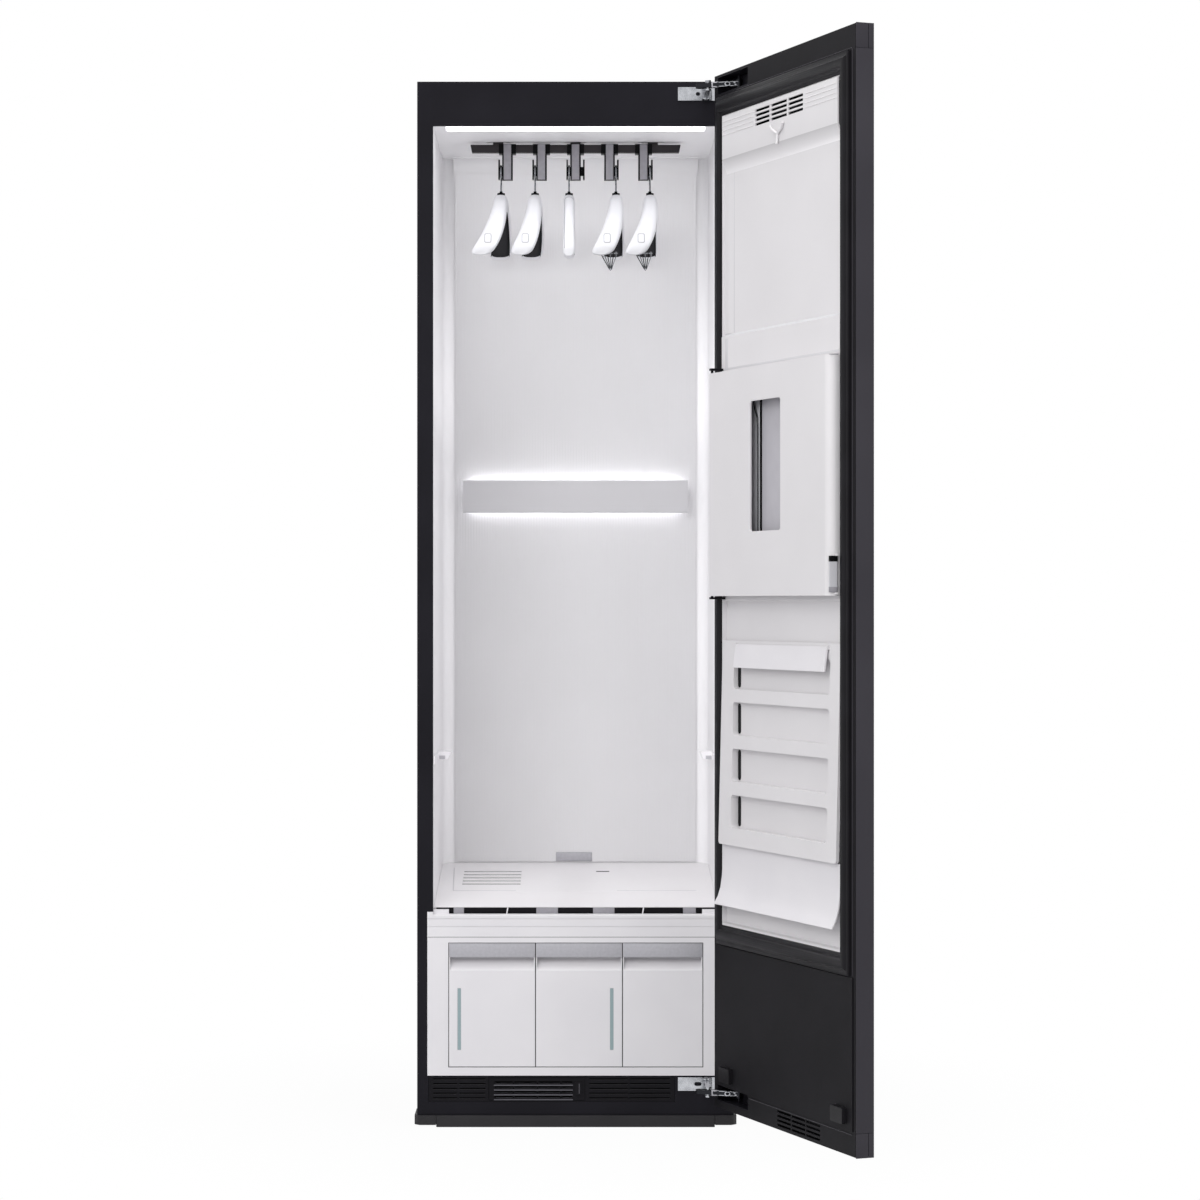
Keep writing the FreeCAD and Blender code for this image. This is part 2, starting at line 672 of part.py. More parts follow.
liner_front = [
    (-6, 391), (4, 391), (4, 395), (-4, 397), (-4, 985), (2, 988), (2, 1404), (6, 1408), (6, 1470), (0, 1475),
    (0, 1768), (10, 1795), (10, 1873), (4, 1877),
]
head_u = 59.0


def door_liner():
    back = [(h - 3, z) for h, z in reversed(liner_front[2:-1])]
    outline = liner_front + [(-9, 1877), (-9, 1873)] + [(h, z) for h, z in back] + [(-9, 396), (-9, 391)]
    sheet = door_profile(outline, liner_u[0] + 2.5, liner_u[1] - 2.5)
    sheet = sheet.cut(door_box(liner_u[0], head_u, 0, 11, 1768.2, 1873))
    sheet = sheet.cut(door_box(liner_u[0], head_u, 4, 11, 1768, 1878))
    beside_head = door_box(liner_u[0] + 2.4, head_u + 1, -3, 0, 1766, 1874)
    side_outline = [(-3, 1768), (0, 1768), (10, 1795), (10, 1873), (-3, 1873)]
    head_side = door_profile(side_outline, head_u, head_u + 2.5)
    side_a = door_box(liner_u[0] + 0.1, liner_u[0] + 2.6, -9, 4, liner_z[0] + 0.1, liner_z[1] - 0.1)
    side_b = door_box(liner_u[1] - 2.6, liner_u[1] - 0.1, -9, 4, liner_z[0] + 0.1, liner_z[1] - 0.1)
    vents = []
    for u0, u1 in ((206, 268), (273, 341), (346, 408)):
        for k in range(4):
            vents.append(door_box(u0, u1, 0, 20, 1836 + k * 8.2, 1841 + k * 8.2))
    return join([sheet.cut(Part.makeCompound(vents)), beside_head, head_side, side_a, side_b])


def door_gasket():
    def ring(u_in, u_out, z_in, z_out, h0, h1):
        outer = door_box(297 - u_out, 297 + u_out, h0, h1, 1134 - z_out, 1134 + z_out)
        return outer.cut(door_box(297 - u_in, 297 + u_in, h0 - 1, h1 + 1, 1134 - z_in, 1134 + z_in))

    base = ring(252.6, 277, 743.2, 780, 0, 6)
    bulb = ring(257, 271, 748, 774, 5.5, 11.5)
    return join([base, bulb])


def door_lower_panel():
    return door_box(10, door_width - 10, 0, 2, 93, 352)


def door_bumpers():
    return [rounded(door_box(u0, u0 + 46, 2, 10, 103, 130), 3, "Y") for u0 in (42.0, 516.0)]


press_peg_u, press_peg_h = 50.0, 26.0
press_peg = 2.5
latch_peg_u, latch_peg_h = 550.7, 14.2
latch_peg = 1.2
latch_z = (press_z[0] + 6, press_z[0] + 67)


def door_rod(u, h, radius, z0, z1):
    return rod(door_edge_x - u, door_face_y + h, z0, radius, z1 - z0, (0, 0, 1))


def press_plate():
    """The board that trousers are pressed on, and the two pegged brackets that the press door turns on."""
    board = rounded(door_box(66, 534, 2, 8, 1002, 1396), 8, "Y")
    low, high = press_z
    foot = join([
        door_box(48.4, 56, 2, 5, low - 6, low - 2),
        door_box(46, 56, 4.2, 30, low - 6, low - 2),
        door_rod(press_peg_u, press_peg_h, press_peg, low - 4, low + 2.3),
    ])
    head = join([
        door_box(46, 56, 6, 30, high + 5.2, high + 9.2),
        door_rod(press_peg_u, press_peg_h, press_peg, high - 2.3, high + 7),
    ])
    return [board, foot, head]


def press_cover():
    """The press door: a shallow tray with a window, hung on pegs at its hinge side."""
    outer = door_box(46.6, 548.6, 6, 30, press_z[0], press_z[1])
    outer = rounded(outer, 14, "Z", lambda c: c.x < -240 and c.y > door_face_y + 25)
    inner = door_box(49, 546, 5, 27.2, press_z[0] + 2.5, press_z[1] - 2.5)
    inner = rounded(inner, 11, "Z", lambda c: c.x < -240 and c.y > door_face_y + 25)
    window = rounded(door_box(229, 357, 20, 40, 1110, 1342), 6, "Y")
    tray = outer.cut(inner).cut(window)
    ears = [door_box(548.2, 553.2, 12, 17, z, z + 3.6) for z in (latch_z[0] - 4, latch_z[1] + 0.4)]
    bores = [
        door_rod(press_peg_u, press_peg_h, press_peg + axle_room, press_z[0] - 1, press_z[1] + 1),
        door_rod(latch_peg_u, latch_peg_h, latch_peg + axle_room, latch_z[0] - 3, latch_z[1] + 3),
    ]
    return join([tray] + ears).cut(Part.makeCompound(bores))


def press_latch():
    """The lever at the press door's free edge."""
    lever = rounded(door_box(549.2, 552.2, 13, 28, *latch_z), 1.2, "Z")
    return join([lever, door_rod(latch_peg_u, latch_peg_h, latch_peg, latch_z[0] - 2.6, latch_z[1] + 2.6)])


# The rack leans: its face stands at rack_top_h at its top edge and at rack_foot_h at its foot.
rack_top_h, rack_foot_h = 4.0, 13.0
rack_lean = math.degrees(math.atan((rack_foot_h - rack_top_h) / (rack_z[1] - rack_z[0])))
rack_back_h = -3.4
rack_u = (48.6, 545.0)
flap_u = (116.0, 500.0)
flap_peg_h, flap_peg_z = 6.7, 906.5
flap_peg = 1.2


def flap_axle(radius, u0, u1):
    return rod(door_edge_x - u1, door_face_y + flap_peg_h, flap_peg_z, radius, u1 - u0, (1, 0, 0))


def trouser_rack():
    """A leaning plate with four windows, each with a wall round it that reaches back to the liner."""
    top_h = rack_top_h
    plate = rounded(door_box(*rack_u, top_h - 6, top_h, *rack_z), 6, "Y")
    walls, windows = [], []
    for i in range(4):
        top = 886 - i * 84.3
        walls.append(rounded(door_box(98.5, 509.5, top_h - 22, top_h - 1, top - 62.5, top + 2.5), 10.5, "Y"))
        windows.append(rounded(door_box(101, 507, top_h - 30, top_h + 5, top - 60, top), 8, "Y"))
    rack = join([plate] + walls).cut(Part.makeCompound(windows))
    rack.rotate(point(0, door_face_y + top_h, rack_z[1]), point(1, 0, 0), rack_lean)
    rack = rack.common(door_box(40, 560, rack_back_h, 40, rack_z[0] - 5, rack_z[1] + 5))
    feet = [door_box(u, u + 12, -4, h, z, z + 12) for u in (60, 522) for z, h in ((560, 9), (880, 2))]
    ears = [door_box(u, u + 2.7, 3.5, 9.2, 903, 910) for u in (flap_u[0] - 3, flap_u[1] + 0.3)]
    bore = flap_axle(flap_peg + axle_room, flap_u[0] - 4, flap_u[1] + 4)
    return join([rack] + feet + ears).cut(bore)


def rack_flap():
    """The flap that holds a trouser hem, hung at its top edge on the rack's ears."""
    flap = door_profile([(11.2, 866), (13.8, 865.2), (8.3, 908), (5.3, 908)], *flap_u)
    return join([flap, flap_axle(flap_peg, flap_u[0] - 2.2, flap_u[1] + 2.2)])


def guide_flap():
    front = [(4.8, 540.6), (5.0, 505), (6.3, 482), (9.3, 461), (14.5, 445), (22.5, 431)]
    back = [(20.0, 429.5), (11.8, 443.5), (6.5, 459.7), (3.4, 481.5), (2.2, 505), (2.0, 540.6)]
    flap = door_profile(front + back, *rack_u)
    foot = [door_box(u, u + 10, -4, 3, 520, 536) for u in (60, 522)]
    return join([flap] + foot)


# ---------------------------------------------------------------- door hinges
ear_low, ear_high = 10.5, 12.5
fork_low, fork_high = 6.5, 9.5
link_half = 4.0


def hinge_plates():
    """Plates screwed to the front frame, each with two ears and the axle that its arm turns on."""
    plates = []
    pivot_y = front_y - arm_pivot_f
    for level, straight in zip(hinge_levels, (3.2, 0.4)):
        face = frame_y - 3.5
        outline = [(192, frame_y), (192, face), (256, face), (262, frame_y - 1), (262, frame_y)]
        plate = prism(outline, "Z", level - ear_high, level + ear_high)
        recess = box(195, 254, frame_y - 4, frame_y - 2, level - 9.5, level + 9.5)
        left, right = 229.5 - straight, 229.5 + straight
        hole = box(left, right, frame_y - 4, frame_y + 1, level - 3.6, level + 3.6)
        ends = [rod(x, frame_y + 1, level, 3.6, 5, (0, -1, 0)) for x in (left, right)]
        pieces = [plate.cut(recess).cut(join([hole] + ends))]
        for low, high in ((-ear_high, -ear_low), (ear_low, ear_high)):
            ear = box(arm_pivot_x - 7, arm_pivot_x + 7, pivot_y, frame_y - 3, level + low, level + high)
            pieces += [ear, rod(arm_pivot_x, pivot_y, level + low, 7, high - low, (0, 0, 1))]
        pieces.append(rod(arm_pivot_x, pivot_y, level - ear_low - 1, hinge_axle, 2 * ear_low + 2, (0, 0, 1)))
        plates.append(join(pieces))
    return plates


def hinge_screws():
    screws = []
    for level in hinge_levels:
        for x in (202.0, 248.0):
            screws.append(rod(x, frame_y - 2, level, 4.2, 1.6, (0, -1, 0)))
    return screws


def hinge_arms():
    """Forked arms pinned on the cabinet plates, turned to where they are with the door open."""
    turn = arm_start_angle + arm_ratio * door_open_angle
    x, y = arm_pivot_x, front_y - arm_pivot_f
    arms = []
    for level in hinge_levels:
        pieces = []
        for z in (level - fork_high, level + fork_low):
            thick = fork_high - fork_low
            pieces.append(box(x, x + arm_length, y - 4.5, y + 4.5, z, z + thick))
            pieces.append(rod(x, y, z, 6, thick, (0, 0, 1)))
            pieces.append(rod(x + arm_length, y, z, 5.5, thick, (0, 0, 1)))
        pieces.append(box(x + 9, x + 26, y - 4.5, y - 2.5, level - fork_high, level + fork_high))
        pieces.append(rod(x + arm_length, y, level - fork_high, pin_radius, 2 * fork_high, (0, 0, 1)))
        arm = join(pieces).cut(rod(x, y, level - 20, hinge_axle + axle_room, 40, (0, 0, 1)))
        arm.rotate(point(x, y, 0), point(0, 0, 1), -turn)
        arms.append(arm)
    return arms


def hinge_links():
    """Slotted links pinned in the door's channels, turned to where they are with the door open."""
    turn = link_angle_shut + link_ratio * door_open_angle
    x, y = door_edge_x - link_pivot_u, door_face_y + link_pivot_h
    slot_half = pin_radius + pin_wander + 0.4
    half = slot_half + 3
    links = []
    for level in hinge_levels:
        low, high = level - link_half, level + link_half
        bar = box(x + 20, x + link_far + 4, y - half, y + half, low, high)
        end = rod(x + link_far + 1, y, low, half, 2 * link_half, (0, 0, 1))
        neck = box(x, x + 22, y - 4.5, y + 4.5, low, high)
        eye = rod(x, y, level - 8, 5, 16, (0, 0, 1))
        slot = box(x + link_near - 1, x + link_far + 1, y - slot_half, y + slot_half, low - 1, high + 1)
        tall = 2 * link_half + 2
        rounds = [rod(x + r, y, low - 1, slot_half, tall, (0, 0, 1)) for r in (link_near - 1, link_far + 1)]
        bore = rod(x, y, level - 20, hinge_axle + axle_room, 40, (0, 0, 1))
        link = join([bar, end, neck, eye]).cut(Part.makeCompound([slot] + rounds + [bore]))
        link.rotate(point(x, y, 0), point(0, 0, 1), -turn)
        links.append(link)
    return links


def hinge_channels():
    """The pressed channels that line the door's pockets, each with the axle of its link."""
    channels = []
    wall, floor_wall = 1.8, 1.2
    for level in hinge_levels:
        half = pocket_half - wall
        u0, u1 = pocket_u[0] + wall, pocket_u[1] - wall
        room = door_box(u0, u1, floor_wall - pocket_depth, 5, level - half, level + half)
        channel = pocket(level, 0).cut(room).common(door_box(0, 200, -40, 0, door_low, door_high))
        axle = door_rod(link_pivot_u, link_pivot_h, hinge_axle, level - half - 0.5, level + half + 0.5)
        channels.append(join([channel, axle]))
    return channels


# ---------------------------------------------------------------- write the sub-parts
os.makedirs("parts", exist_ok=True)

save("outer_casing", outer_casing())
save("back_cover", back_cover())
save("base_pan", base_pan())
save("front_frame", front_frame())
save("plinth", *plinth())
save("levelling_feet", *levelling_feet())

save("inner_tub", inner_tub())
save("back_wall_panel", back_wall_panel())
save("ceiling_light_lens", ceiling_light_lens())
save("light_boards", *light_boards())
save("wall_light_cover", wall_light_cover())
save("shelf_supports", *shelf_supports())
save("floor_duct_cover", floor_duct_cover())
save("sill", sill())

save("lower_fascia", lower_fascia())
save("tank_bay", tank_bay())
drawers = [("fill_tank", -218.0), ("drain_tank", 68.0), ("accessory_drawer", None)]
for (name, window), left, right in zip(drawers, bay_edges, bay_edges[1:]):
    save(name, drawer_bin(left, right, window))
    save(name + "_front", drawer_front(left, right, window))
save("kick_grille", kick_grille())
save("kick_louvre", kick_louvre())

save("compressor", compressor())
save("heat_exchanger", heat_exchanger())
save("fan_housing", fan_housing())
save("fan_wheel", fan_wheel())
save("steam_generator", steam_generator())
save("water_pumps", *water_pumps())
save("control_board", control_board())
save("air_duct", air_duct())
save("power_inlet", power_inlet())

save("hanger_rail", hanger_rail())
save("rail_crank", rail_crank())
save("rail_motor", rail_motor())
save("rail_holders", *rail_holders())
save("holder_faces", *holder_faces())
for number, (place, form) in enumerate(zip(hanger_places, hangers), 1):
    save("hanger_" + str(number), *hanger(*place, *form))

save_on_door("door_panel", door_panel())
save_on_door("door_frame", door_frame())
save_on_door("door_liner", door_liner())
save_on_door("door_gasket", door_gasket())
save_on_door("door_lower_panel", door_lower_panel())
save_on_door("door_bumpers", *door_bumpers())
save_on_door("press_plate", *press_plate())
save_on_door("press_cover", press_cover())
save_on_door("press_latch", press_latch())
save_on_door("trouser_rack", trouser_rack())
save_on_door("rack_flap", rack_flap())
save_on_door("guide_flap", guide_flap())
save_on_door("hinge_channels", *hinge_channels())
save_on_door("hinge_links", *hinge_links())
save("hinge_plates", *hinge_plates())
save("hinge_screws", *hinge_screws())
save("hinge_arms", *hinge_arms())
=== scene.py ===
import json
import math

import bmesh
import bpy
from mathutils import Matrix, Vector
from mathutils.bvhtree import BVHTree


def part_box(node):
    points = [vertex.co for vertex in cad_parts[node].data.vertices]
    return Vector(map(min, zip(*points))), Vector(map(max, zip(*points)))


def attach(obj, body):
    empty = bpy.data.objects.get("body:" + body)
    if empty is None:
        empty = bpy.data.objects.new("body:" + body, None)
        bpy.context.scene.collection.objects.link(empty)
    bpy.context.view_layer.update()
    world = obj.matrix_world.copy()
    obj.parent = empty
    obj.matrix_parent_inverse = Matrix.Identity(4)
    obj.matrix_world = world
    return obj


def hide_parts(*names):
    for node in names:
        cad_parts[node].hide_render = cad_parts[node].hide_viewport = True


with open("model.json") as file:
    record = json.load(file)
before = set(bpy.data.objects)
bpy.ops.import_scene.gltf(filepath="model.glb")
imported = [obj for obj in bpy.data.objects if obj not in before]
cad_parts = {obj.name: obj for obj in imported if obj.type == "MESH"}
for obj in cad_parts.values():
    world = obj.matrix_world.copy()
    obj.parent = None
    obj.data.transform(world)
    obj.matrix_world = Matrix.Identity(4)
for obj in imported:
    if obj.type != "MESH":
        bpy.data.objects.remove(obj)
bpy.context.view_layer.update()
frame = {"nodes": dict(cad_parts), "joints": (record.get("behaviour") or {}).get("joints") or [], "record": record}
nodes = frame["nodes"]
mm = 0.001
bodies = frame["record"]["behaviour"]["bodies"]
bodyOf = {node: body for body, members in bodies.items() for node in members}
doorSwing = next(joint for joint in frame["joints"] if joint["name"] == "door_swing")
print("frame loaded:", len(nodes), "nodes")


# colours, nodes and finishes
def linear(hexColour):
    parts = [int(hexColour[i:i + 2], 16) / 255 for i in (1, 3, 5)]
    return [p / 12.92 if p <= 0.04045 else ((p + 0.055) / 1.055) ** 2.4 for p in parts] + [1.0]


def addNode(tree, kind, settings=None, links=None):
    # a setting is one of the node's own properties, or the value of an input socket by name or number;
    # a link comes from a socket, or from a node's first output
    node = tree.nodes.new(kind)
    for key, value in (settings or {}).items():
        if isinstance(key, int) or key in node.inputs:
            node.inputs[key].default_value = value
        else:
            setattr(node, key, value)
    for key, source in (links or {}).items():
        socket = source.outputs[0] if isinstance(source, bpy.types.Node) else source
        tree.links.new(socket, node.inputs[key])
    return node


def openFinish(material):
    # a material's tree, the inputs of its shader, and the place on the object
    tree = material.node_tree
    place = addNode(tree, "ShaderNodeTexCoord").outputs["Object"]
    return tree, tree.nodes["Principled BSDF"].inputs, place


def blendColours(tree, first, second, share):
    # the base colour goes from the first colour to the second by share
    mixed = addNode(tree, "ShaderNodeMix", {"data_type": "RGBA", 6: first, 7: second}, {0: share})
    tree.links.new(mixed.outputs[2], tree.nodes["Principled BSDF"].inputs["Base Color"])


def addGrain(material, size, depth, spread, stretch=(1.0, 1.0, 1.0)):
    # one noise gives the bump and the roughness; size is the grain in mm and depth its height in mm
    tree, given, place = openFinish(material)
    middle = given["Roughness"].default_value
    place = addNode(tree, "ShaderNodeMapping", {"Scale": stretch}, {"Vector": place}).outputs[0]
    noise = addNode(tree, "ShaderNodeTexNoise", {"Scale": 1000 / size, "Detail": 3.0}, {"Vector": place})
    bump = addNode(
        tree, "ShaderNodeBump", {"Strength": 0.6, "Distance": depth * mm}, {"Height": noise.outputs["Fac"]}
    )
    rough = addNode(
        tree, "ShaderNodeMapRange",
        {"From Min": 0.3, "From Max": 0.7, "To Min": middle - spread, "To Max": middle + spread},
        {"Value": noise.outputs["Fac"]},
    )
    tree.links.new(bump.outputs["Normal"], given["Normal"])
    tree.links.new(rough.outputs["Result"], given["Roughness"])


def addMottle(material, hexOther, size, share):
    # soft patches of a second colour, size in mm, mixed in by up to share
    tree, given, place = openFinish(material)
    noise = addNode(tree, "ShaderNodeTexNoise", {"Scale": 1000 / size, "Detail": 2.0}, {"Vector": place})
    amount = addNode(
        tree, "ShaderNodeMapRange",
        {"From Min": 0.35, "From Max": 0.65, "To Max": share}, {"Value": noise.outputs["Fac"]},
    )
    blendColours(tree, given["Base Color"].default_value[:], linear(hexOther), amount)


def newFinish(name, hexColour, roughness, metallic=0.0, specular=0.5, grain=None, mottle=None):
    # grain and mottle are what the two functions above take after the material
    material = bpy.data.materials.new(name)
    material.use_nodes = True
    given = material.node_tree.nodes["Principled BSDF"].inputs
    given["Base Color"].default_value = linear(hexColour)
    given["Roughness"].default_value = roughness
    given["Metallic"].default_value = metallic
    given["Specular IOR Level"].default_value = specular
    if grain:
        addGrain(material, *grain)
    if mottle:
        addMottle(material, *mottle)
    return material


# coil-coated steel, baked satin paint: a faint orange peel breaks up soft reflections
coatedSteel = newFinish(
    "coated_steel_satin", "#18171C", 0.45, 0, 0.09, grain=(3.5, 0.012, 0.05), mottle=("#201F25", 160, 0.5)
)
# extruded aluminium, painted dark: smoother and a shade lighter than the door's sides
paintedProfile = newFinish(
    "aluminium_profile_painted", "#302E34", 0.4, 0, 0.2,
    grain=(1.4, 0.006, 0.04), mottle=("#3A383E", 220, 0.5)
)
# ABS moulded in a spark-eroded tool: fine matt grain
grainedAbs = newFinish(
    "abs_moulded_black", "#171619", 0.55, 0, 0.08, grain=(1.1, 0.03, 0.06), mottle=("#1C1B1F", 90, 0.5)
)
# the plinth is a shade lighter, with a softer sheen; beads of it on the kick panel's slot lips are a painted
# highlight
kickAbs = newFinish(
    "abs_moulded_charcoal", "#2C2B2D", 0.5, 0, 0.18, grain=(1.1, 0.03, 0.06), mottle=("#333234", 90, 0.5)
)
# ABS moulded and polished: the hanger clamps have a soft gloss
polishedAbs = newFinish("abs_polished_black", "#0B0B0D", 0.35, 0, 0.06, grain=(2.4, 0.008, 0.05))
# EPDM extrusion: dry, matt, a little grey with bloom
gasketRubber = newFinish(
    "epdm_gasket", "#161518", 0.45, 0, 0.16, grain=(0.9, 0.02, 0.08), mottle=("#1E1D21", 60, 0.6)
)
# HIPS sheet, vacuum formed: slightly wavy satin white with a cool cast
formedWhite = newFinish(
    "hips_formed_white", "#E6E5E7", 0.42, 0, 0.4, grain=(14, 0.03, 0.04), mottle=("#E0DFE1", 240, 0.5)
)
# the fluted panel is extruded from a greyer batch
flutedWhite = newFinish(
    "hips_extruded_white", "#DDDCDE", 0.45, 0, 0.35, grain=(6, 0.01, 0.04), mottle=("#D8D7D9", 240, 0.5)
)
# the door's sheet and covers are warmer and a shade darker than the cavity
doorWhite = newFinish(
    "asa_moulded_white", "#DFDDDF", 0.42, 0, 0.4, grain=(6, 0.015, 0.04), mottle=("#D9D7D9", 200, 0.5)
)
# the same white on the step under the head, with painted light and shade: lighter at its lower edge, greyer
# towards its upper edge
stepShadeWhite = newFinish("asa_white_painted_step_shade", "#DFDDDF", 0.45, 0, 0.35, grain=(6, 0.015, 0.04))
# ABS moulded white: finer satin than the formed sheet
mouldedWhite = newFinish(
    "abs_moulded_white", "#E5E3E6", 0.38, 0, 0.4, grain=(1.6, 0.006, 0.04), mottle=("#DEDCE0", 140, 0.5)
)
# the wall light's cover is a warmer, greyer white; it is also the strap over the press, and painted shade on the
# liner: the band's top face, the border's edge line and a shadow line at the band's foot
coverWhiteAndShade = newFinish("abs_cover_grey_white", "#CFCED1", 0.45, 0, 0.35, grain=(1.6, 0.006, 0.04))
# polypropylene hangers: bright satin white
hangerWhite = newFinish(
    "polypropylene_white", "#E4E4E8", 0.36, 0, 0.45, grain=(2.2, 0.01, 0.05), mottle=("#DDDDE1", 70, 0.5)
)
# soft overmould on the hangers' hollow side: matt, no highlight
hangerPad = newFinish("tpe_overmould_black", "#29292C", 0.75, 0, 0.25, grain=(0.8, 0.03, 0.08))
# electro-zinc plated spring steel with a bright passivation
platedSteel = newFinish(
    "zinc_plated_steel", "#C9CBD0", 0.28, 1.0, grain=(1.2, 0.008, 0.1), mottle=("#A9ABB1", 12, 0.6)
)
# chromed wire
chromeWire = newFinish("chromed_wire", "#8E9094", 0.16, 1.0, grain=(1.0, 0.003, 0.05))
# phosphated steel of the hinge links: dark, slightly oily
phosphatedSteel = newFinish("phosphated_steel", "#2B2C30", 0.35, 0.9, grain=(1.2, 0.01, 0.08))
# polypropylene of the drawer bay: unlit charcoal between the fronts; the same charcoal is painted shade in the
# gaps round the drawers, under the sill and under the floor cover's slots
bayPlasticAndShade = newFinish("polypropylene_charcoal", "#2C2C30", 0.6, 0, 0.15, grain=(1.6, 0.02, 0.06))
# satin-silver paint on moulded ABS: tiny flakes, soft sheen
satinSilver = newFinish(
    "silver_paint_satin", "#ADACB2", 0.4, 0.35, grain=(0.7, 0.006, 0.08), mottle=("#B7B6BC", 5, 0.6)
)
# hot-dip galvanised sheet, the back and base
galvanised = newFinish("galvanised_sheet", "#A8ABAE", 0.45, 0.85)
# tinted SAN level window, seen against the dark water behind
tintedWindow = newFinish("san_window_tinted", "#93A6AA", 0.2, 0, 0.5, grain=(6, 0.01, 0.05))
# smoke-grey SAN bins
smokeBin = newFinish(
    "san_bin_smoke", "#A7B1B5", 0.25, 0, 0.5, grain=(5, 0.01, 0.05), mottle=("#9AA5AA", 60, 0.5)
)
# mid-grey ABS of the holder faces, moulded with a fine vertical grain
greyAbs = newFinish(
    "abs_moulded_grey", "#96949A", 0.45, 0, 0.4,
    grain=(0.9, 0.02, 0.06, (1, 1, 0.15)), mottle=("#8B898F", 8, 0.6)
)
# slate-grey ABS slats: their satin face catches the light against the black louvre
slateAbs = newFinish("abs_moulded_slate", "#5B5A60", 0.42, 0, 0.3, grain=(1.1, 0.02, 0.05))
# light grey acetal of the latch, smooth from the mould
latchAcetal = newFinish("acetal_light_grey", "#BDBCC1", 0.35, 0, 0.4, grain=(1.4, 0.006, 0.05))
# powder-coated rail
railPaint = newFinish(
    "powder_coat_rail", "#363335", 0.5, 0, 0.15, grain=(1.3, 0.02, 0.06), mottle=("#302D2F", 40, 0.5)
)
# silicone press sheet, woven glass behind it
pressSheet = newFinish(
    "silicone_press_sheet", "#BBB9BF", 0.6, 0, 0.3,
    grain=(1.5, 0.03, 0.08, (1, 1, 0.4)), mottle=("#B6B4BA", 30, 0.6)
)
# machine room finishes
machineBlack = newFinish("compressor_enamel", "#121214", 0.35, 0, 0.4, grain=(2.5, 0.02, 0.06))
machineGrey = newFinish(
    "polypropylene_machine", "#84858A", 0.5, 0, 0.35, grain=(1.6, 0.02, 0.06), mottle=("#787A80", 30, 0.5)
)
finAluminium = newFinish("aluminium_fins", "#C6C8CB", 0.35, 1.0, grain=(0.8, 0.01, 0.1, (1, 1, 0.1)))
solderMask = newFinish(
    "solder_mask_green", "#1F5A37", 0.35, 0, 0.5, grain=(2.0, 0.02, 0.08), mottle=("#2A6B44", 6, 0.6)
)


def makeSpangle(size):
    # zinc crystals of the size in mm, each a little lighter or darker and duller or brighter
    tree, given, place = openFinish(galvanised)
    cells = addNode(tree, "ShaderNodeTexVoronoi", {"Scale": 1000 / size}, {"Vector": place})
    shade = addNode(tree, "ShaderNodeSeparateColor", {}, {"Color": cells.outputs["Color"]})
    blendColours(tree, linear("#9B9EA2"), linear("#B4B7BA"), shade)
    rough = addNode(
        tree, "ShaderNodeMapRange", {"To Min": 0.38, "To Max": 0.52}, {"Value": shade.outputs[1]}
    )
    tree.links.new(rough.outputs["Result"], given["Roughness"])


def newGlow(name, strength, rib):
    # a frosted diffuser lit from behind, whose fine ribs, rib mm apart, keep back a little of the light
    material = newFinish(name, "#F4F4F6", 0.5, 0, 0.4)
    tree, given, place = openFinish(material)
    waves = addNode(
        tree, "ShaderNodeTexWave",
        {"wave_type": "BANDS", "bands_direction": "X", "Scale": 100 * math.pi / rib}, {"Vector": place},
    )
    level = addNode(
        tree, "ShaderNodeMapRange", {"To Min": strength * 0.92, "To Max": strength},
        {"Value": waves.outputs["Fac"]},
    )
    given["Emission Color"].default_value = linear("#FDFDFF")
    tree.links.new(level.outputs["Result"], given["Emission Strength"])
    return material


# the liner's step under the head and the top of its band, where painted light and shade go: heights in metres, and
# how far the faces lean
stepSet = {"z": (1.7685, 1.7945), "below": -0.2}
bandSet = {"z": (1.469, 1.476), "above": 0.3}


def makeStepShade(low, high):
    # painted light at the step's lower edge, going over to painted shade at its upper edge
    tree, _, place = openFinish(stepShadeWhite)
    height = addNode(tree, "ShaderNodeSeparateXYZ", {}, {0: place})
    share = addNode(
        tree, "ShaderNodeMapRange", {"From Min": low, "From Max": high}, {"Value": height.outputs["Z"]}
    )
    blendColours(tree, linear("#F4F2F4"), linear("#C2C0C2"), share)


makeStepShade(*stepSet["z"])
makeSpangle(12)
ceilingGlow = newGlow("diffuser_ceiling", 2.6, 5.9218)
wallGlow = newGlow("led_strip_wall", 6.0, 3.9479)
print("finishes made:", len(bpy.data.materials))


# mesh helpers; shapes are drawn in mm and turned to metres when a piece is finished
def doorPlace():
    # door pieces are drawn as (u, h, z): u from the hinge edge, h out of the inner face, on the shut door
    hinge = Vector((doorSwing["pos_m"][0], doorSwing["pos_m"][1], 0.0)) * 1000
    openAngle = math.radians(-doorSwing["range_deg"][0])
    turn = Matrix.Translation(hinge) @ Matrix.Rotation(openAngle, 4, "Z") @ Matrix.Translation(-hinge)
    edgeX, faceY = 297.0, -287.0
    shut = Matrix(((-1, 0, 0, edgeX), (0, 1, 0, faceY), (0, 0, 1, 0), (0, 0, 0, 1)))
    return turn @ shut


doorMatrix = doorPlace()


def addObject(name, data):
    placed = bpy.data.objects.new(name, data)
    bpy.context.scene.collection.objects.link(placed)
    return placed


def meshFrom(bm, name):
    mesh = bpy.data.meshes.new(name)
    bm.to_mesh(mesh)
    bm.free()
    return mesh


def applyModifiers(work):
    # the mesh that a work object's modifiers give; the object itself goes
    evaluated = work.evaluated_get(bpy.context.evaluated_depsgraph_get())
    mesh = bpy.data.meshes.new_from_object(evaluated)
    bpy.data.objects.remove(work)
    return mesh


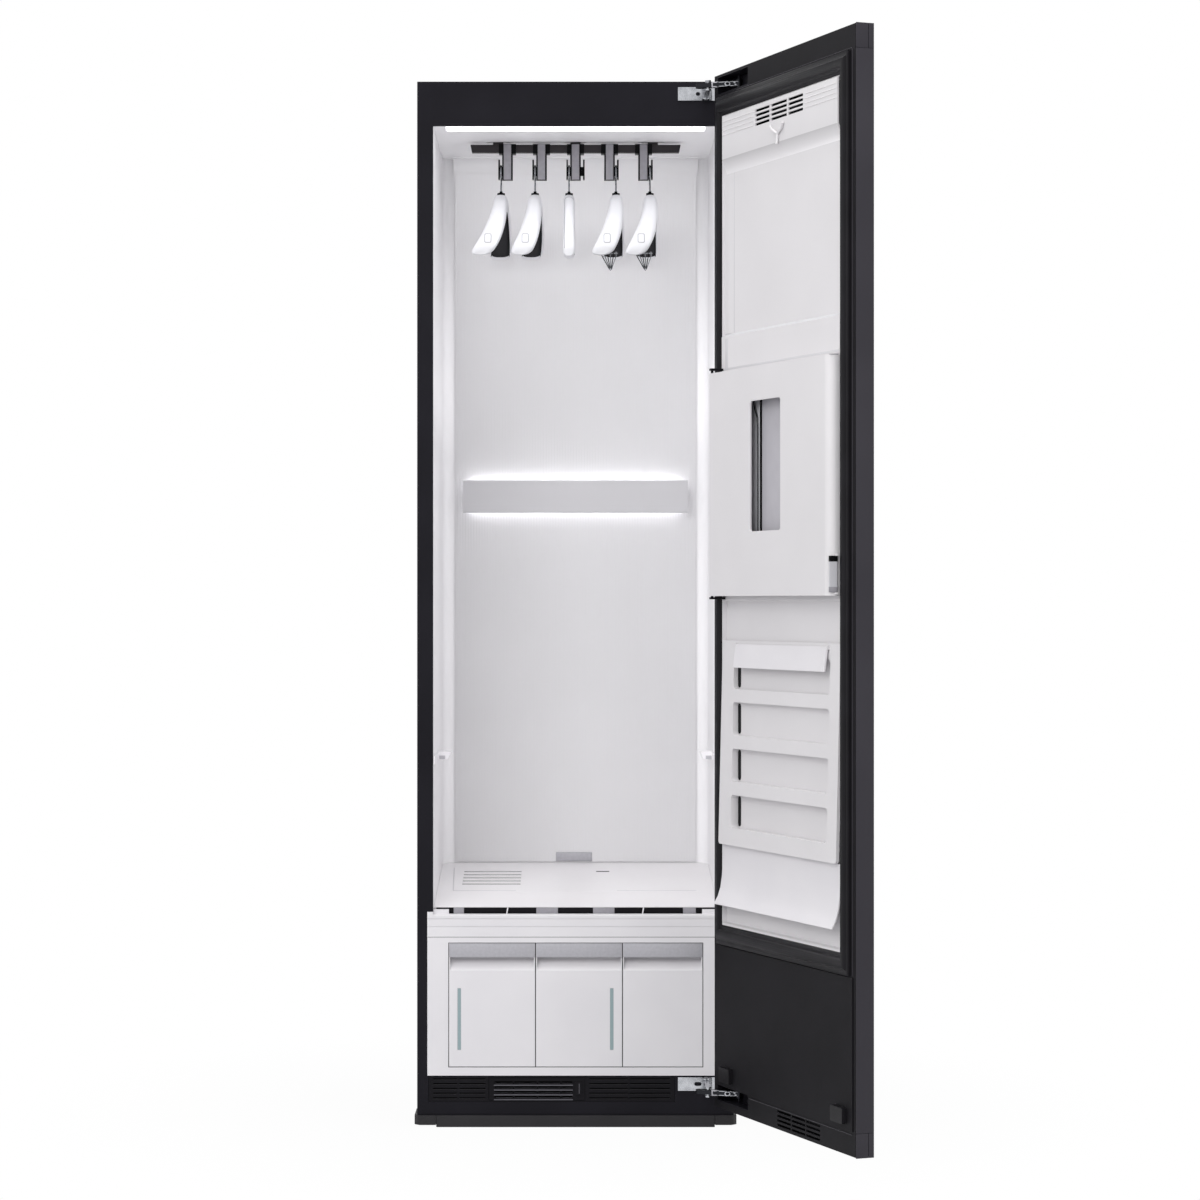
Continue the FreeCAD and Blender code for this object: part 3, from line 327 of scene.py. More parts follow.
def addBlock(bm, x, y, z, radius=0.0, segments=2, slot=0):
    # x, y and z are (low, high); the edges are rounded by radius
    before = set(bm.faces)
    size = Vector((x[1] - x[0], y[1] - y[0], z[1] - z[0]))
    middle = Vector((x[1] + x[0], y[1] + y[0], z[1] + z[0])) / 2
    place = Matrix.Translation(middle) @ Matrix.Diagonal((*size, 1))
    made = bmesh.ops.create_cube(bm, size=1, matrix=place)
    if radius:
        edges = list({edge for vert in made["verts"] for edge in vert.link_edges})
        bmesh.ops.bevel(bm, geom=edges, offset=radius, segments=segments, profile=0.5, affect="EDGES")
    for face in set(bm.faces) - before:
        face.material_index = slot


def addTube(bm, points, radius, sides=10, slot=0, closed=False):
    # a round bar along the points, with closed ends
    points = [Vector(p) for p in points]
    count = len(points)
    normal = None
    rings = []
    for i, p in enumerate(points):
        if closed:
            way = (points[(i + 1) % count] - points[i - 1]).normalized()
        else:
            way = (points[min(i + 1, count - 1)] - points[max(i - 1, 0)]).normalized()
        if normal is None:
            normal = way.orthogonal().normalized()
        normal = (normal - way * normal.dot(way)).normalized()
        other = way.cross(normal)
        ring = []
        for k in range(sides):
            angle = 2 * math.pi * k / sides
            ring.append(bm.verts.new(p + radius * (math.cos(angle) * normal + math.sin(angle) * other)))
        rings.append(ring)
    made = []
    for i in range(count if closed else count - 1):
        a, b = rings[i], rings[(i + 1) % count]
        for k in range(sides):
            made.append(bm.faces.new((a[k], a[(k + 1) % sides], b[(k + 1) % sides], b[k])))
    if not closed:
        made.append(bm.faces.new(rings[0][::-1]))
        made.append(bm.faces.new(rings[-1]))
    for face in made:
        face.material_index = slot


def arcPoints(middle, radii, angles):
    # points of an ellipse about a middle, angles in degrees
    turns = [math.radians(a) for a in angles]
    return [(middle[0] + radii[0] * math.cos(t), middle[1] + radii[1] * math.sin(t)) for t in turns]


def slotOutline(x, low, high, half):
    # an upright slot with round ends
    radii = (half, half)
    return [
        *arcPoints((x, high - half), radii, range(0, 181, 20)),
        *arcPoints((x, low + half), radii, range(180, 361, 20)),
    ]


def addPlate(bm, outline, low, high, axis, slot=0):
    # an outline pushed along an axis: (y, z) along X, (x, z) along Y or (x, y) along Z
    place = {
        "X": lambda a, b, c: (c, a, b),
        "Y": lambda a, b, c: (a, c, b),
        "Z": lambda a, b, c: (a, b, c),
    }[axis]
    rings = [[bm.verts.new(place(a, b, c)) for a, b in outline] for c in (low, high)]
    count = len(outline)
    made = [bm.faces.new(rings[0]), bm.faces.new(rings[1][::-1])]
    for k in range(count):
        n = (k + 1) % count
        made.append(bm.faces.new((rings[0][k], rings[1][k], rings[1][n], rings[0][n])))
    for face in made:
        face.material_index = slot
    bmesh.ops.recalc_face_normals(bm, faces=made)


def placeMesh(name, mesh, materials, body, replaced=(), smooth=35):
    for material in materials:
        mesh.materials.append(material)
    if smooth:
        mesh.shade_smooth()
        mesh.set_sharp_from_angle(angle=math.radians(smooth))
    piece = addObject(name, mesh)
    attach(piece, body)
    if replaced:
        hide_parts(*replaced)


def finishPiece(name, bm, materials, body, replaced=(), onDoor=False, smooth=35):
    if onDoor:
        bm.transform(doorMatrix)
        bmesh.ops.reverse_faces(bm, faces=bm.faces)
    bm.transform(Matrix.Scale(mm, 4))
    placeMesh(name, meshFrom(bm, name), materials, body, replaced, smooth)


# every node that keeps its own shape gets its finish here
finishNodes = [
    (coatedSteel, "outer_casing front_frame door_panel hinge_channels"),
    (galvanised, "back_cover base_pan"),
    (kickAbs, "plinth"),
    (grainedAbs, "kick_grille kick_louvre door_frame door_lower_panel levelling_feet power_inlet"),
    (polishedAbs, "rail_holders"),
    (gasketRubber, "door_gasket door_bumpers"),
    (formedWhite, "inner_tub"),
    (flutedWhite, "back_wall_panel"),
    (doorWhite, "door_liner floor_duct_cover press_cover trouser_rack"),
    (mouldedWhite, (
        "sill lower_fascia shelf_supports fill_tank_front drain_tank_front accessory_drawer_front "
        "rack_flap guide_flap"
    )),
    (coverWhiteAndShade, "wall_light_cover"),
    (ceilingGlow, "ceiling_light_lens"),
    (solderMask, "light_boards control_board"),
    (smokeBin, "fill_tank drain_tank accessory_drawer"),
    (bayPlasticAndShade, "tank_bay"),
    (pressSheet, "press_plate"),
    (latchAcetal, "press_latch"),
    (greyAbs, "holder_faces"),
    (railPaint, "hanger_rail"),
    (platedSteel, "hinge_plates hinge_arms hinge_screws"),
    (phosphatedSteel, "hinge_links"),
    (machineBlack, "compressor rail_motor"),
    (finAluminium, "heat_exchanger"),
    (machineGrey, "fan_housing fan_wheel steam_generator water_pumps air_duct rail_crank"),
]
nodeFinishes = {name: finish for finish, names in finishNodes for name in names.split()}
for name, node in nodes.items():
    finish = nodeFinishes.get(name, hangerWhite)
    node.data.materials.clear()
    node.data.materials.append(finish)
# the press door's pegged brackets are black, the board beside them isn't; they end at this u
bracketEnd = 60.0
bracketMesh = nodes["press_plate"].data
bracketMesh.materials.append(grainedAbs)
inDoor = doorMatrix.inverted()
for face in bracketMesh.polygons:
    if (inDoor @ (face.center * 1000)).x < bracketEnd:
        face.material_index = 1
print("nodes dressed")

# moulded and folded edges: these nodes are stood for by the same shape with its edges rounded, radius in mm
roundedNodes = {
    "outer_casing": 1.2, "front_frame": 0.8, "door_panel": 1.4, "plinth": 1.2, "door_lower_panel": 0.8,
    "sill": 0.45, "lower_fascia": 0.9, "floor_duct_cover": 0.6, "wall_light_cover": 1.0,
    "shelf_supports": 1.0, "fill_tank_front": 0.9, "drain_tank_front": 0.9, "accessory_drawer_front": 0.9,
    "door_liner": 0.8, "press_cover": 1.2, "trouser_rack": 1.1, "rack_flap": 0.8, "guide_flap": 0.8,
    "press_latch": 0.5, "holder_faces": 0.8, "rail_holders": 0.8, "hanger_rail": 0.8, "kick_louvre": 0.5,
    "door_bumpers": 1.0, "hinge_plates": 0.4, "hinge_arms": 0.4, "hinge_links": 0.4, "hinge_screws": 0.5,
}


def onStep(face):
    return stepSet["z"][0] < face.center.z < stepSet["z"][1] and face.normal.z < stepSet["below"]


# the band's top face takes the greyer white: painted shade that dims its highlight
def onBandTop(face):
    return bandSet["z"][0] < face.center.z < bandSet["z"][1] and face.normal.z > bandSet["above"]


# some faces of these nodes have a finish of their own, here painted light and shade on the liner's step and
# painted shade on its band's top: the finish, and which faces
secondFinishes = {"door_liner": [(stepShadeWhite, onStep), (coverWhiteAndShade, onBandTop)]}


def roundEdges(name, radius):
    bm = bmesh.new()
    bm.from_mesh(nodes[name].data)
    bmesh.ops.remove_doubles(bm, verts=bm.verts, dist=2e-6)
    mesh = meshFrom(bm, name + "_rounded")
    mesh.shade_smooth()
    work = addObject(name + "_work", mesh)
    bevel = work.modifiers.new("bevel", "BEVEL")
    bevel.width = radius * mm
    bevel.segments = 2
    bevel.limit_method = "ANGLE"
    bevel.angle_limit = math.radians(50)
    bevel.miter_outer = "MITER_ARC"
    # flat faces keep flat shading and the rounding takes all of the bend
    work.modifiers.new("normals", "WEIGHTED_NORMAL").weight = 100
    final = applyModifiers(work)
    final.materials.clear()
    finish = nodeFinishes[name]
    placeMesh(name + "_rounded", final, [finish], bodyOf[name], [name], smooth=None)
    for index, (finish, wanted) in enumerate(secondFinishes.get(name, []), 1):
        final.materials.append(finish)
        for face in final.polygons:
            if wanted(face):
                face.material_index = index


for name, radius in roundedNodes.items():
    roundEdges(name, radius)
print("edges rounded on", len(roundedNodes), "nodes")

# camera and lights
cameraSet = {"place": (0.0, -6.275, 0.986), "lens": 96.0, "shift": (0.0204, 0.0008)}


def makeCamera():
    data = bpy.data.cameras.new("camera")
    data.lens = cameraSet["lens"]
    data.sensor_width = 36.0
    data.shift_x, data.shift_y = cameraSet["shift"]
    data.clip_end = 60.0
    camera = addObject("camera", data)
    camera.location = cameraSet["place"]
    camera.rotation_euler = (math.radians(90), 0, 0)
    bpy.context.scene.camera = camera


lightSet = {
    "above": 0.78, "below": 0.42,
    # name, place, aim, size, watts
    "lamps": [
        ("front_left", (-1.5, -4.3, 2.9), (0.1, -0.2, 1.0), (2.6, 2.6), 75),
        ("front_right", (2.8, -4.0, 1.9), (0.1, -0.2, 1.0), (2.4, 2.4), 26),
        ("top", (0.0, -1.0, 4.2), (0.1, -0.2, 1.0), (2.2, 2.2), 45),
    ],
    # the same and the surfaces lit, in place of the light that the white walls throw at each other
    "cavityLamps": [
        ("fill_left", (-0.02, -0.1, 1.15), (-1, -0.1, 1.15), (0.2, 1.3), 0.45, "tub"),
        ("fill_right", (0.02, -0.1, 1.15), (1, -0.1, 1.15), (0.2, 1.3), 0.45, "tub"),
        ("fill_front", (0.0, -1.1, 1.15), (0, 0, 1.15), (0.5, 1.4), 3.5, "tub"),
        ("fill_up", (0.0, -0.05, 1.3), (0, 0.0, 1.87), (0.4, 0.3), 0.5, "tub"),
        ("fill_cove", (0.0, -0.2, 1.83), (0, 0.13, 1.865), (0.45, 0.05), 0.8, "wall"),
    ],
    "groups": {
        "tub": ["inner_tub", "shelf_supports_rounded", "floor_duct_cover_rounded"],
        "wall": ["fluted_wall"],
    },
}


def addLamp(name, place, aim, size, watts):
    data = bpy.data.lights.new(name, "AREA")
    data.shape = "RECTANGLE"
    data.size, data.size_y = size
    data.energy = watts
    data.specular_factor = 0.35
    light = addObject(name, data)
    light.location = place
    light.visible_camera = False
    light.visible_glossy = False
    light.rotation_euler = (Vector(aim) - Vector(place)).to_track_quat("-Z", "Y").to_euler()
    return light


def makeCavityLamps():
    groups = {}
    for group, names in lightSet["groups"].items():
        groups[group] = bpy.data.collections.new("lit_" + group)
        for name in names:
            groups[group].objects.link(nodes.get(name) or bpy.data.objects[name])
    for *lamp, group in lightSet["cavityLamps"]:
        linking = addLamp(*lamp).light_linking
        linking.receiver_collection = groups[group]
        linking.blocker_collection = groups["tub"]


def seenDirectly(tree):
    # 1 for rays that see the surroundings: camera, glossy and transmission rays
    path = addNode(tree, "ShaderNodeLightPath")
    either = addNode(
        tree, "ShaderNodeMath", {"operation": "MAXIMUM"},
        {0: path.outputs["Is Camera Ray"], 1: path.outputs["Is Glossy Ray"]},
    )
    either = addNode(
        tree, "ShaderNodeMath", {"operation": "MAXIMUM"},
        {0: either, 1: path.outputs["Is Transmission Ray"]},
    )
    return either.outputs[0]


def makeWorld():
    # white where it is seen; as light it is stronger from above than from below
    world = bpy.data.worlds.new("studio")
    bpy.context.scene.world = world
    world.use_nodes = True
    tree = world.node_tree
    tree.nodes.clear()
    place = addNode(tree, "ShaderNodeTexCoord").outputs["Generated"]
    height = addNode(tree, "ShaderNodeSeparateXYZ", {}, {0: place})
    level = addNode(
        tree, "ShaderNodeMapRange",
        {"From Min": -0.4, "From Max": 0.5, "To Min": lightSet["below"], "To Max": lightSet["above"]},
        {"Value": height.outputs["Z"]},
    )
    soft = addNode(tree, "ShaderNodeBackground", {"Color": (1, 1, 1, 1)}, {"Strength": level})
    white = addNode(tree, "ShaderNodeBackground", {"Color": (1, 1, 1, 1), "Strength": 1.0})
    mixed = addNode(tree, "ShaderNodeMixShader", {}, {0: seenDirectly(tree), 1: soft, 2: white})
    addNode(tree, "ShaderNodeOutputWorld", {}, {"Surface": mixed})


groundSet = {"half": 30.0, "near": 0.35, "far": 1.1, "nearWhite": 0.96}


def makeFloor():
    # pale floor that takes the shadow near the cabinet and fades to white further out
    bm = bmesh.new()
    bmesh.ops.create_grid(bm, x_segments=2, y_segments=2, size=groundSet["half"])
    mesh = meshFrom(bm, "floor")
    material = newFinish("floor_paint_pale", "#C6C6C8", 0.8, 0, 0.1)
    tree = material.node_tree
    place = addNode(tree, "ShaderNodeTexCoord").outputs["Object"]
    away = addNode(tree, "ShaderNodeVectorMath", {"operation": "LENGTH"}, {0: place})
    fade = addNode(
        tree, "ShaderNodeMapRange",
        {"From Min": groundSet["near"], "From Max": groundSet["far"], "To Min": groundSet["nearWhite"]},
        {"Value": away.outputs["Value"]},
    )
    share = addNode(tree, "ShaderNodeMath", {"operation": "MULTIPLY"}, {0: fade, 1: seenDirectly(tree)})
    white = addNode(tree, "ShaderNodeEmission", {"Color": (1, 1, 1, 1), "Strength": 1.0})
    paint = tree.nodes["Principled BSDF"].outputs[0]
    mixed = addNode(tree, "ShaderNodeMixShader", {}, {0: share, 1: paint, 2: white})
    tree.links.new(mixed.outputs[0], tree.nodes["Material Output"].inputs["Surface"])
    mesh.materials.append(material)
    floor = addObject("floor", mesh)


makeCamera()
for lamp in lightSet["lamps"]:
    addLamp(*lamp)
makeWorld()
makeFloor()
bpy.context.scene.view_settings.view_transform = "Standard"
print("stage set")

# fluted back wall with the cove above it
wallSet = {
    "halfWidth": 242.5, "low": 462.0, "high": 1844.0, "front": 166.0, "thick": 3.4,
    # the flutes, and the grid's columns in each
    "pitch": 5.5, "depth": 0.09, "columns": 8.0,
}
coveSet = {"radius": 32.0, "back": 169.8, "ceiling": 1875.8, "half": 246.0, "wall": 2.0}


def makeFlutedWall():
    # the tree lays out a grid, presses the flutes into it and gives it its thickness
    tree = bpy.data.node_groups.new("flutes", "GeometryNodeTree")
    tree.interface.new_socket("Geometry", in_out="OUTPUT", socket_type="NodeSocketGeometry")
    for label in ("Width", "Height", "Pitch", "Depth", "Thickness"):
        tree.interface.new_socket(label, in_out="INPUT", socket_type="NodeSocketFloat")
    given = addNode(tree, "NodeGroupInput").outputs
    ribs = addNode(tree, "ShaderNodeMath", {"operation": "DIVIDE"}, {0: given["Width"], 1: given["Pitch"]})
    columns = addNode(tree, "ShaderNodeMath", {"operation": "MULTIPLY", 1: wallSet["columns"]}, {0: ribs})
    grid = addNode(
        tree, "GeometryNodeMeshGrid", {"Vertices Y": 2},
        {"Size X": given["Width"], "Size Y": given["Height"], "Vertices X": columns},
    )
    spot = addNode(tree, "GeometryNodeInputPosition")
    across = addNode(tree, "ShaderNodeSeparateXYZ", {}, {0: spot})
    turns = addNode(
        tree, "ShaderNodeMath", {"operation": "DIVIDE"}, {0: across.outputs["X"], 1: given["Pitch"]}
    )
    angle = addNode(tree, "ShaderNodeMath", {"operation": "MULTIPLY", 1: 2 * math.pi}, {0: turns})
    wave = addNode(tree, "ShaderNodeMath", {"operation": "COSINE"}, {0: angle})
    height = addNode(tree, "ShaderNodeMath", {"operation": "MULTIPLY"}, {0: wave, 1: given["Depth"]})
    offset = addNode(tree, "ShaderNodeCombineXYZ", {}, {"Z": height})
    fluted = addNode(
        tree, "GeometryNodeSetPosition", {}, {"Geometry": grid.outputs["Mesh"], "Offset": offset}
    )
    back = addNode(tree, "GeometryNodeFlipFaces", {}, {"Mesh": fluted})
    thick = addNode(
        tree, "GeometryNodeExtrudeMesh", {"Individual": False},
        {"Mesh": fluted, "Offset Scale": given["Thickness"]},
    )
    both = addNode(tree, "GeometryNodeJoinGeometry", {}, {"Geometry": back})
    tree.links.new(thick.outputs["Mesh"], both.inputs["Geometry"])
    whole = addNode(tree, "GeometryNodeMergeByDistance", {"Distance": 0.001}, {"Geometry": both})
    real = addNode(tree, "GeometryNodeRealizeInstances", {}, {"Geometry": whole})
    dressed = addNode(tree, "GeometryNodeSetMaterial", {"Material": flutedWhite}, {"Geometry": real})
    addNode(tree, "NodeGroupOutput", {}, {"Geometry": dressed})
    work = addObject("flutes_work", bpy.data.meshes.new("flutes_work"))
    modifier = work.modifiers.new("flutes", "NODES")
    modifier.node_group = tree
    values = {
        "Width": 2 * wallSet["halfWidth"],
        "Height": wallSet["high"] - wallSet["low"],
        "Pitch": wallSet["pitch"],
        "Depth": wallSet["depth"],
        "Thickness": wallSet["thick"],
    }
    for item in tree.interface.items_tree:
        if item.in_out == "INPUT":
            modifier[item.identifier] = values[item.name]
    bm = bmesh.new()
    bm.from_mesh(applyModifiers(work))
    middle = (wallSet["low"] + wallSet["high"]) / 2
    place = Matrix.Translation((0, wallSet["front"] + wallSet["thick"], middle))
    bm.transform(place @ Matrix.Rotation(math.radians(90), 4, "X"))
    radius, back, ceiling, half = coveSet["radius"], coveSet["back"], coveSet["ceiling"], coveSet["half"]
    y, z = back - coveSet["wall"] - radius, ceiling - coveSet["wall"] - radius
    arc = arcPoints((y, z), (radius, radius), range(0, 91, 6))
    addPlate(bm, [(back, z), *arc, (y, ceiling), (back, ceiling)], -half, half, "X")
    replaced = ["back_wall_panel"]
    finishPiece("fluted_wall", bm, [flutedWhite], "cabinet", replaced, smooth=40)


makeFlutedWall()

# light strips behind the wall light's cover, and the blank plate under it
stripSet = {"half": 214.0, "y": (149.4, 150.6), "high": (1215.0, 1226.0), "low": (1166.0, 1173.0)}
plateSet = {"x": (-39.3, 33.2), "y": (163.6, 165.9), "z": (462.8, 480.5)}


def makeWallDetails():
    bm = bmesh.new()
    for z in (stripSet["high"], stripSet["low"]):
        addBlock(bm, (-stripSet["half"], stripSet["half"]), stripSet["y"], z, 0.4)
    finishPiece("wall_light_strips", bm, [wallGlow], "cabinet")
    bm = bmesh.new()
    addBlock(bm, plateSet["x"], plateSet["y"], plateSet["z"], 1.0, 3)
    inset = 1.6
    inner = [(low + inset, high - inset) for low, high in (plateSet["x"], plateSet["z"])]
    addBlock(bm, inner[0], (plateSet["y"][0] - 0.3, plateSet["y"][0] + 0.6), inner[1], 0.25)
    finishPiece("wall_plate", bm, [satinSilver], "cabinet")


makeWallDetails()

# the floor cover's slots, with dark sheets of painted shade under them, its catch and joint lines, and the notches
# under the shelf supports
floorSet = {
    "front": -275.0, "near": (25.0, 410.5), "far": (444.0, 459.0), "slotX": (-220.6, -107.4),
    "slots": [230.0 + i * 30.0 for i in range(5)], "slotDeep": 9.0, "sunk": 0.8,
    # x and depth of each end of a joint line
    "joints": [((-242, 390), (-236, 175)), ((-236, 172), (-115, 172)), ((80, 172), (233, 172))],
    "catch": ((41.0, 67.0), 352.0, 7.0),
    "notch": ((252.5, 263.6), (679.6, 686.4), -75.4),
}


def floorPoint(x, depth, lift):
    (d0, z0), (d1, z1) = floorSet["near"], floorSet["far"]
    return (x, floorSet["front"] + depth, z0 + (z1 - z0) * (depth - d0) / (d1 - d0) + lift)


def addOnFloor(bm, x, depth, deep, lift, slot):
    corners = [(depth, -2.5), (depth + deep, -2.5), (depth + deep, 0.0), (depth, 0.0)]
    outline = [floorPoint(0, d, lift + up)[1:] for d, up in corners]
    addPlate(bm, outline, *x, "X", slot=slot)


def makeFloorDetails():
    bm = bmesh.new()
    # dark sheets sunk under the slots: painted shade
    for depth in floorSet["slots"]:
        addOnFloor(bm, floorSet["slotX"], depth + 0.3, floorSet["slotDeep"] - 0.6, -floorSet["sunk"], 0)
    x, depth, deep = floorSet["catch"]
    addOnFloor(bm, x, depth, deep, 0.25, 0)
    for (xa, da), (xb, db) in floorSet["joints"]:
        addTube(bm, [floorPoint(xa, da, -0.25), floorPoint(xb, db, -0.25)], 0.75, 6, slot=1)
    x, z, y = floorSet["notch"]
    for side in (-1, 1):
        addBlock(bm, sorted([side * v for v in x]), (y, y + 0.9), z, 0.3, slot=1)
    finishPiece("floor_details", bm, [bayPlasticAndShade, latchAcetal], "cabinet")


makeFloorDetails()

# the filters behind the air intake slot: black mesh between grey frames
filterSet = {
    "y": (-252.0, -249.0), "z": (391.0, 409.0), "half": 262.0, "wires": 65, "wirePitch": 4,
    "frames": [(-229.3, -209.9), (-73.8, -33.0), (33.0, 73.2), (202.4, 226.3)],
    "posts": [-129.0, 126.5], "lean": 1.6, "postHalf": 1.2,
}


def makeIntakeFilters():
    bm = bmesh.new()
    low, high = filterSet["z"]
    addBlock(bm, (-filterSet["half"], filterSet["half"]), filterSet["y"], (low, high), 0.4)
    front = filterSet["y"][0]
    for i in range(-filterSet["wires"], filterSet["wires"] + 1):
        x = i * filterSet["wirePitch"]
        addBlock(bm, (x - 0.5, x + 0.5), (front - 0.6, front + 0.3), (low + 1, high - 1))
    for x in filterSet["frames"]:
        addBlock(bm, x, (front - 3.0, front + 0.5), (low, high), 0.8, slot=1)
    lean, half = filterSet["lean"], filterSet["postHalf"]
    for x in filterSet["posts"]:
        foot, head = x - lean, x + lean
        outline = [(foot - half, low), (foot + half, low), (head + half, high), (head - half, high)]
        addPlate(bm, outline, front - 3.0, front, "Y", slot=2)
    finishPiece("intake_filters", bm, [grainedAbs, greyAbs, mouldedWhite], "cabinet")


makeIntakeFilters()
print("cavity finished")

# the drawers: x of their edges, grip strips, level windows of the two tanks and the painted shade in the gaps
# round them
drawerSet = {
    "edges": {"fill_tank": (-238.0, -75.0), "drain_tank": (-75.0, 88.0), "accessory_drawer": (88.0, 239.0)},
    "gap": 0.8, "frontY": -275.0, "strip": (318.0, 344.2), "window": (144.6, 259.4),
    "windows": {"fill_tank": -218.0, "drain_tank": 68.0}, "windowHalf": 3.0,
    "gapZ": (112.0, 345.0), "sillGap": (355.3, 356.1), "sillHalf": 277.5,
}


def makeDrawerTrims():
    front = drawerSet["frontY"]
    for drawer, (left, right) in drawerSet["edges"].items():
        bm = bmesh.new()
        x = (left + drawerSet["gap"] + 0.4, right - drawerSet["gap"] - 0.4)
        addBlock(bm, x, (front - 0.5, front + 1.0), drawerSet["strip"], 0.35)
        finishPiece(drawer + "_grip_strip", bm, [satinSilver], drawer)
    for drawer, x in drawerSet["windows"].items():
        bm = bmesh.new()
        outline = slotOutline(x, *drawerSet["window"], drawerSet["windowHalf"])
        addPlate(bm, outline, front - 0.1, front + 0.5, "Y")
        finishPiece(drawer + "_window", bm, [tintedWindow], drawer)


def makeDrawerShadows():
    # dark strips of painted shade fill the gaps round the drawers, and one lies under the sill
    bm = bmesh.new()
    y = (drawerSet["frontY"] - 0.1, drawerSet["frontY"] + 2.8)
    gaps, (low, high) = sorted({x for ends in drawerSet["edges"].values() for x in ends}), drawerSet["gapZ"]
    for x in gaps:
        addBlock(bm, (x - 0.5, x + 0.5), y, (low, high))
    for z in (low, high):
        addBlock(bm, (gaps[0] - 0.5, gaps[-1] + 0.5), y, (z - 0.4, z + 0.4))
    addBlock(bm, (-drawerSet["sillHalf"], drawerSet["sillHalf"]), y, drawerSet["sillGap"])
    finishPiece("drawer_gap_lips", bm, [bayPlasticAndShade], "cabinet")


makeDrawerTrims()
makeDrawerShadows()

# slanted slats in the louvre, whose upper faces catch the light, and a bright bead down its catch: a painted
# highlight
slatSet = {
    "left": -153.0, "right": -5.0, "front": -275.2, "first": 52.0, "pitch": 9.0, "count": 4, "depth": 5.0,
    "catch": [(6.9, -277.4, 62.5), (6.9, -277.4, 81.5)],
}


def makeLouvreSlats():
    bm = bmesh.new()
    front, back = slatSet["front"], slatSet["front"] + slatSet["depth"]
    for i in range(slatSet["count"]):
        z = slatSet["first"] + i * slatSet["pitch"]
        outline = [(front, z - 2.2), (front - 0.4, z - 0.6), (back, z + 2.4), (back, z + 0.4)]
        addPlate(bm, outline, slatSet["left"], slatSet["right"], "X")
    # the bead down the catch: a painted highlight
    addTube(bm, slatSet["catch"], 0.7, 6)
    finishPiece("louvre_slats", bm, [slateAbs], "kick_cover")


# black air mesh behind the kick panel, and a lighter bead along the lower lip of each of its slots, a painted
# highlight, in groups from x to x
kickSet = {
    "mesh": ((-275.0, 185.0), (-264.5, -263.5), (47.6, 93.4)),
    "front": -274.0, "first": 52.4, "pitch": 8.9, "rows": 5,
    "groups": [(-267, -222), (-218, -169), (26, 98), (102, 177)],
}


def makeKickSheet():
    bm = bmesh.new()
    addBlock(bm, *kickSet["mesh"])
    for left, right in kickSet["groups"]:
        for row in range(kickSet["rows"]):
            z = kickSet["first"] + row * kickSet["pitch"]
            addTube(bm, [(left, kickSet["front"], z), (right, kickSet["front"], z)], 0.45, 6, slot=1)
    finishPiece("kick_mesh", bm, [polishedAbs, kickAbs], "cabinet")


makeLouvreSlats()
makeKickSheet()
print("lower front finished")

# door: end profile with its corner caps, trim rib and a painted highlight along the panel's lower edge, gasket;
# all as (u, h, z)
endSet = {
    "u": (594.6, 596.2), "h": (-33.7, -0.3), "z": (49.7, 1957.8), "capLow": 91.1, "capHigh": 1915.5,
    "capSeam": -23.5, "seam": 0.5,
}
ribSet = {
    "u": (100.0, 583.0), "z": (355.0, 1917.0), "radius": 0.9,
    # a lighter line along the lower edge of the panel under the liner: a painted highlight
    "lower": [(158.0, 0.3, 87.5), (583.0, 0.3, 87.5)],
}
gasketSet = {
    "middle": (297.0, 1134.0), "halfU": (252.6, 277.0), "halfZ": (743.2, 780.0),
    # share of the way from the inner to the outer edge, height
    "section": [
        (0.0, 0.0), (0.0, 4.0), (0.03, 5.4), (0.08, 6.0), (0.15, 6.0), (0.18, 7.2), (0.21, 9.0),
        (0.27, 10.6), (0.36, 11.4), (0.46, 11.6), (0.56, 11.3), (0.66, 10.3), (0.72, 8.8), (0.75, 7.2),
        (0.78, 6.0), (0.92, 6.0), (0.97, 5.4), (1.0, 4.2), (1.0, 0.0),
    ],
}


def makeDoorEnd():
    bm = bmesh.new()
    u, (h0, h1), (z0, z1) = endSet["u"], endSet["h"], endSet["z"]
    seam = endSet["seam"]
    addBlock(bm, u, (h0, h1), (endSet["capLow"] + seam, endSet["capHigh"] - seam), 0.5)
    for low, high in ((z0, endSet["capLow"]), (endSet["capHigh"], z1)):
        addBlock(bm, u, (h0, endSet["capSeam"] - seam), (low, high), 0.5)
        addBlock(bm, u, (endSet["capSeam"] + seam, h1), (low, high), 0.5)
    finishPiece("door_end_profile", bm, [paintedProfile], "door", onDoor=True)
    bm = bmesh.new()
    (ua, ub), (za, zb) = ribSet["u"], ribSet["z"]
    radius = ribSet["radius"]
    bend = [(ub - 4, 0, zb), (ub - 1.2, 0, zb - 1.2), (ub, 0, zb - 4)]
    addTube(bm, [(ua, 0, zb), *bend, (ub, 0, za)], radius, 8)
    addTube(bm, ribSet["lower"], 0.7, 8)
    finishPiece("door_trim_rib", bm, [paintedProfile], "door", onDoor=True)


def makeGasket():
    bm = bmesh.new()
    (u, z), halfU, halfZ = gasketSet["middle"], gasketSet["halfU"], gasketSet["halfZ"]
    rings = []
    for share, h in gasketSet["section"]:
        a = halfU[0] + share * (halfU[1] - halfU[0])
        b = halfZ[0] + share * (halfZ[1] - halfZ[0])
        corners = [(-a, -b), (a, -b), (a, b), (-a, b)]
        rings.append([bm.verts.new((u + x, h, z + y)) for x, y in corners])
    count = len(rings)
    for i in range(count):
        first, second = rings[i], rings[(i + 1) % count]
        for k in range(4):
            bm.faces.new((first[k], second[k], second[(k + 1) % 4], first[(k + 1) % 4]))
    bmesh.ops.recalc_face_normals(bm, faces=bm.faces)
    finishPiece("door_seal", bm, [gasketRubber], "door", ["door_gasket"], True, smooth=50)


makeDoorEnd()
makeGasket()
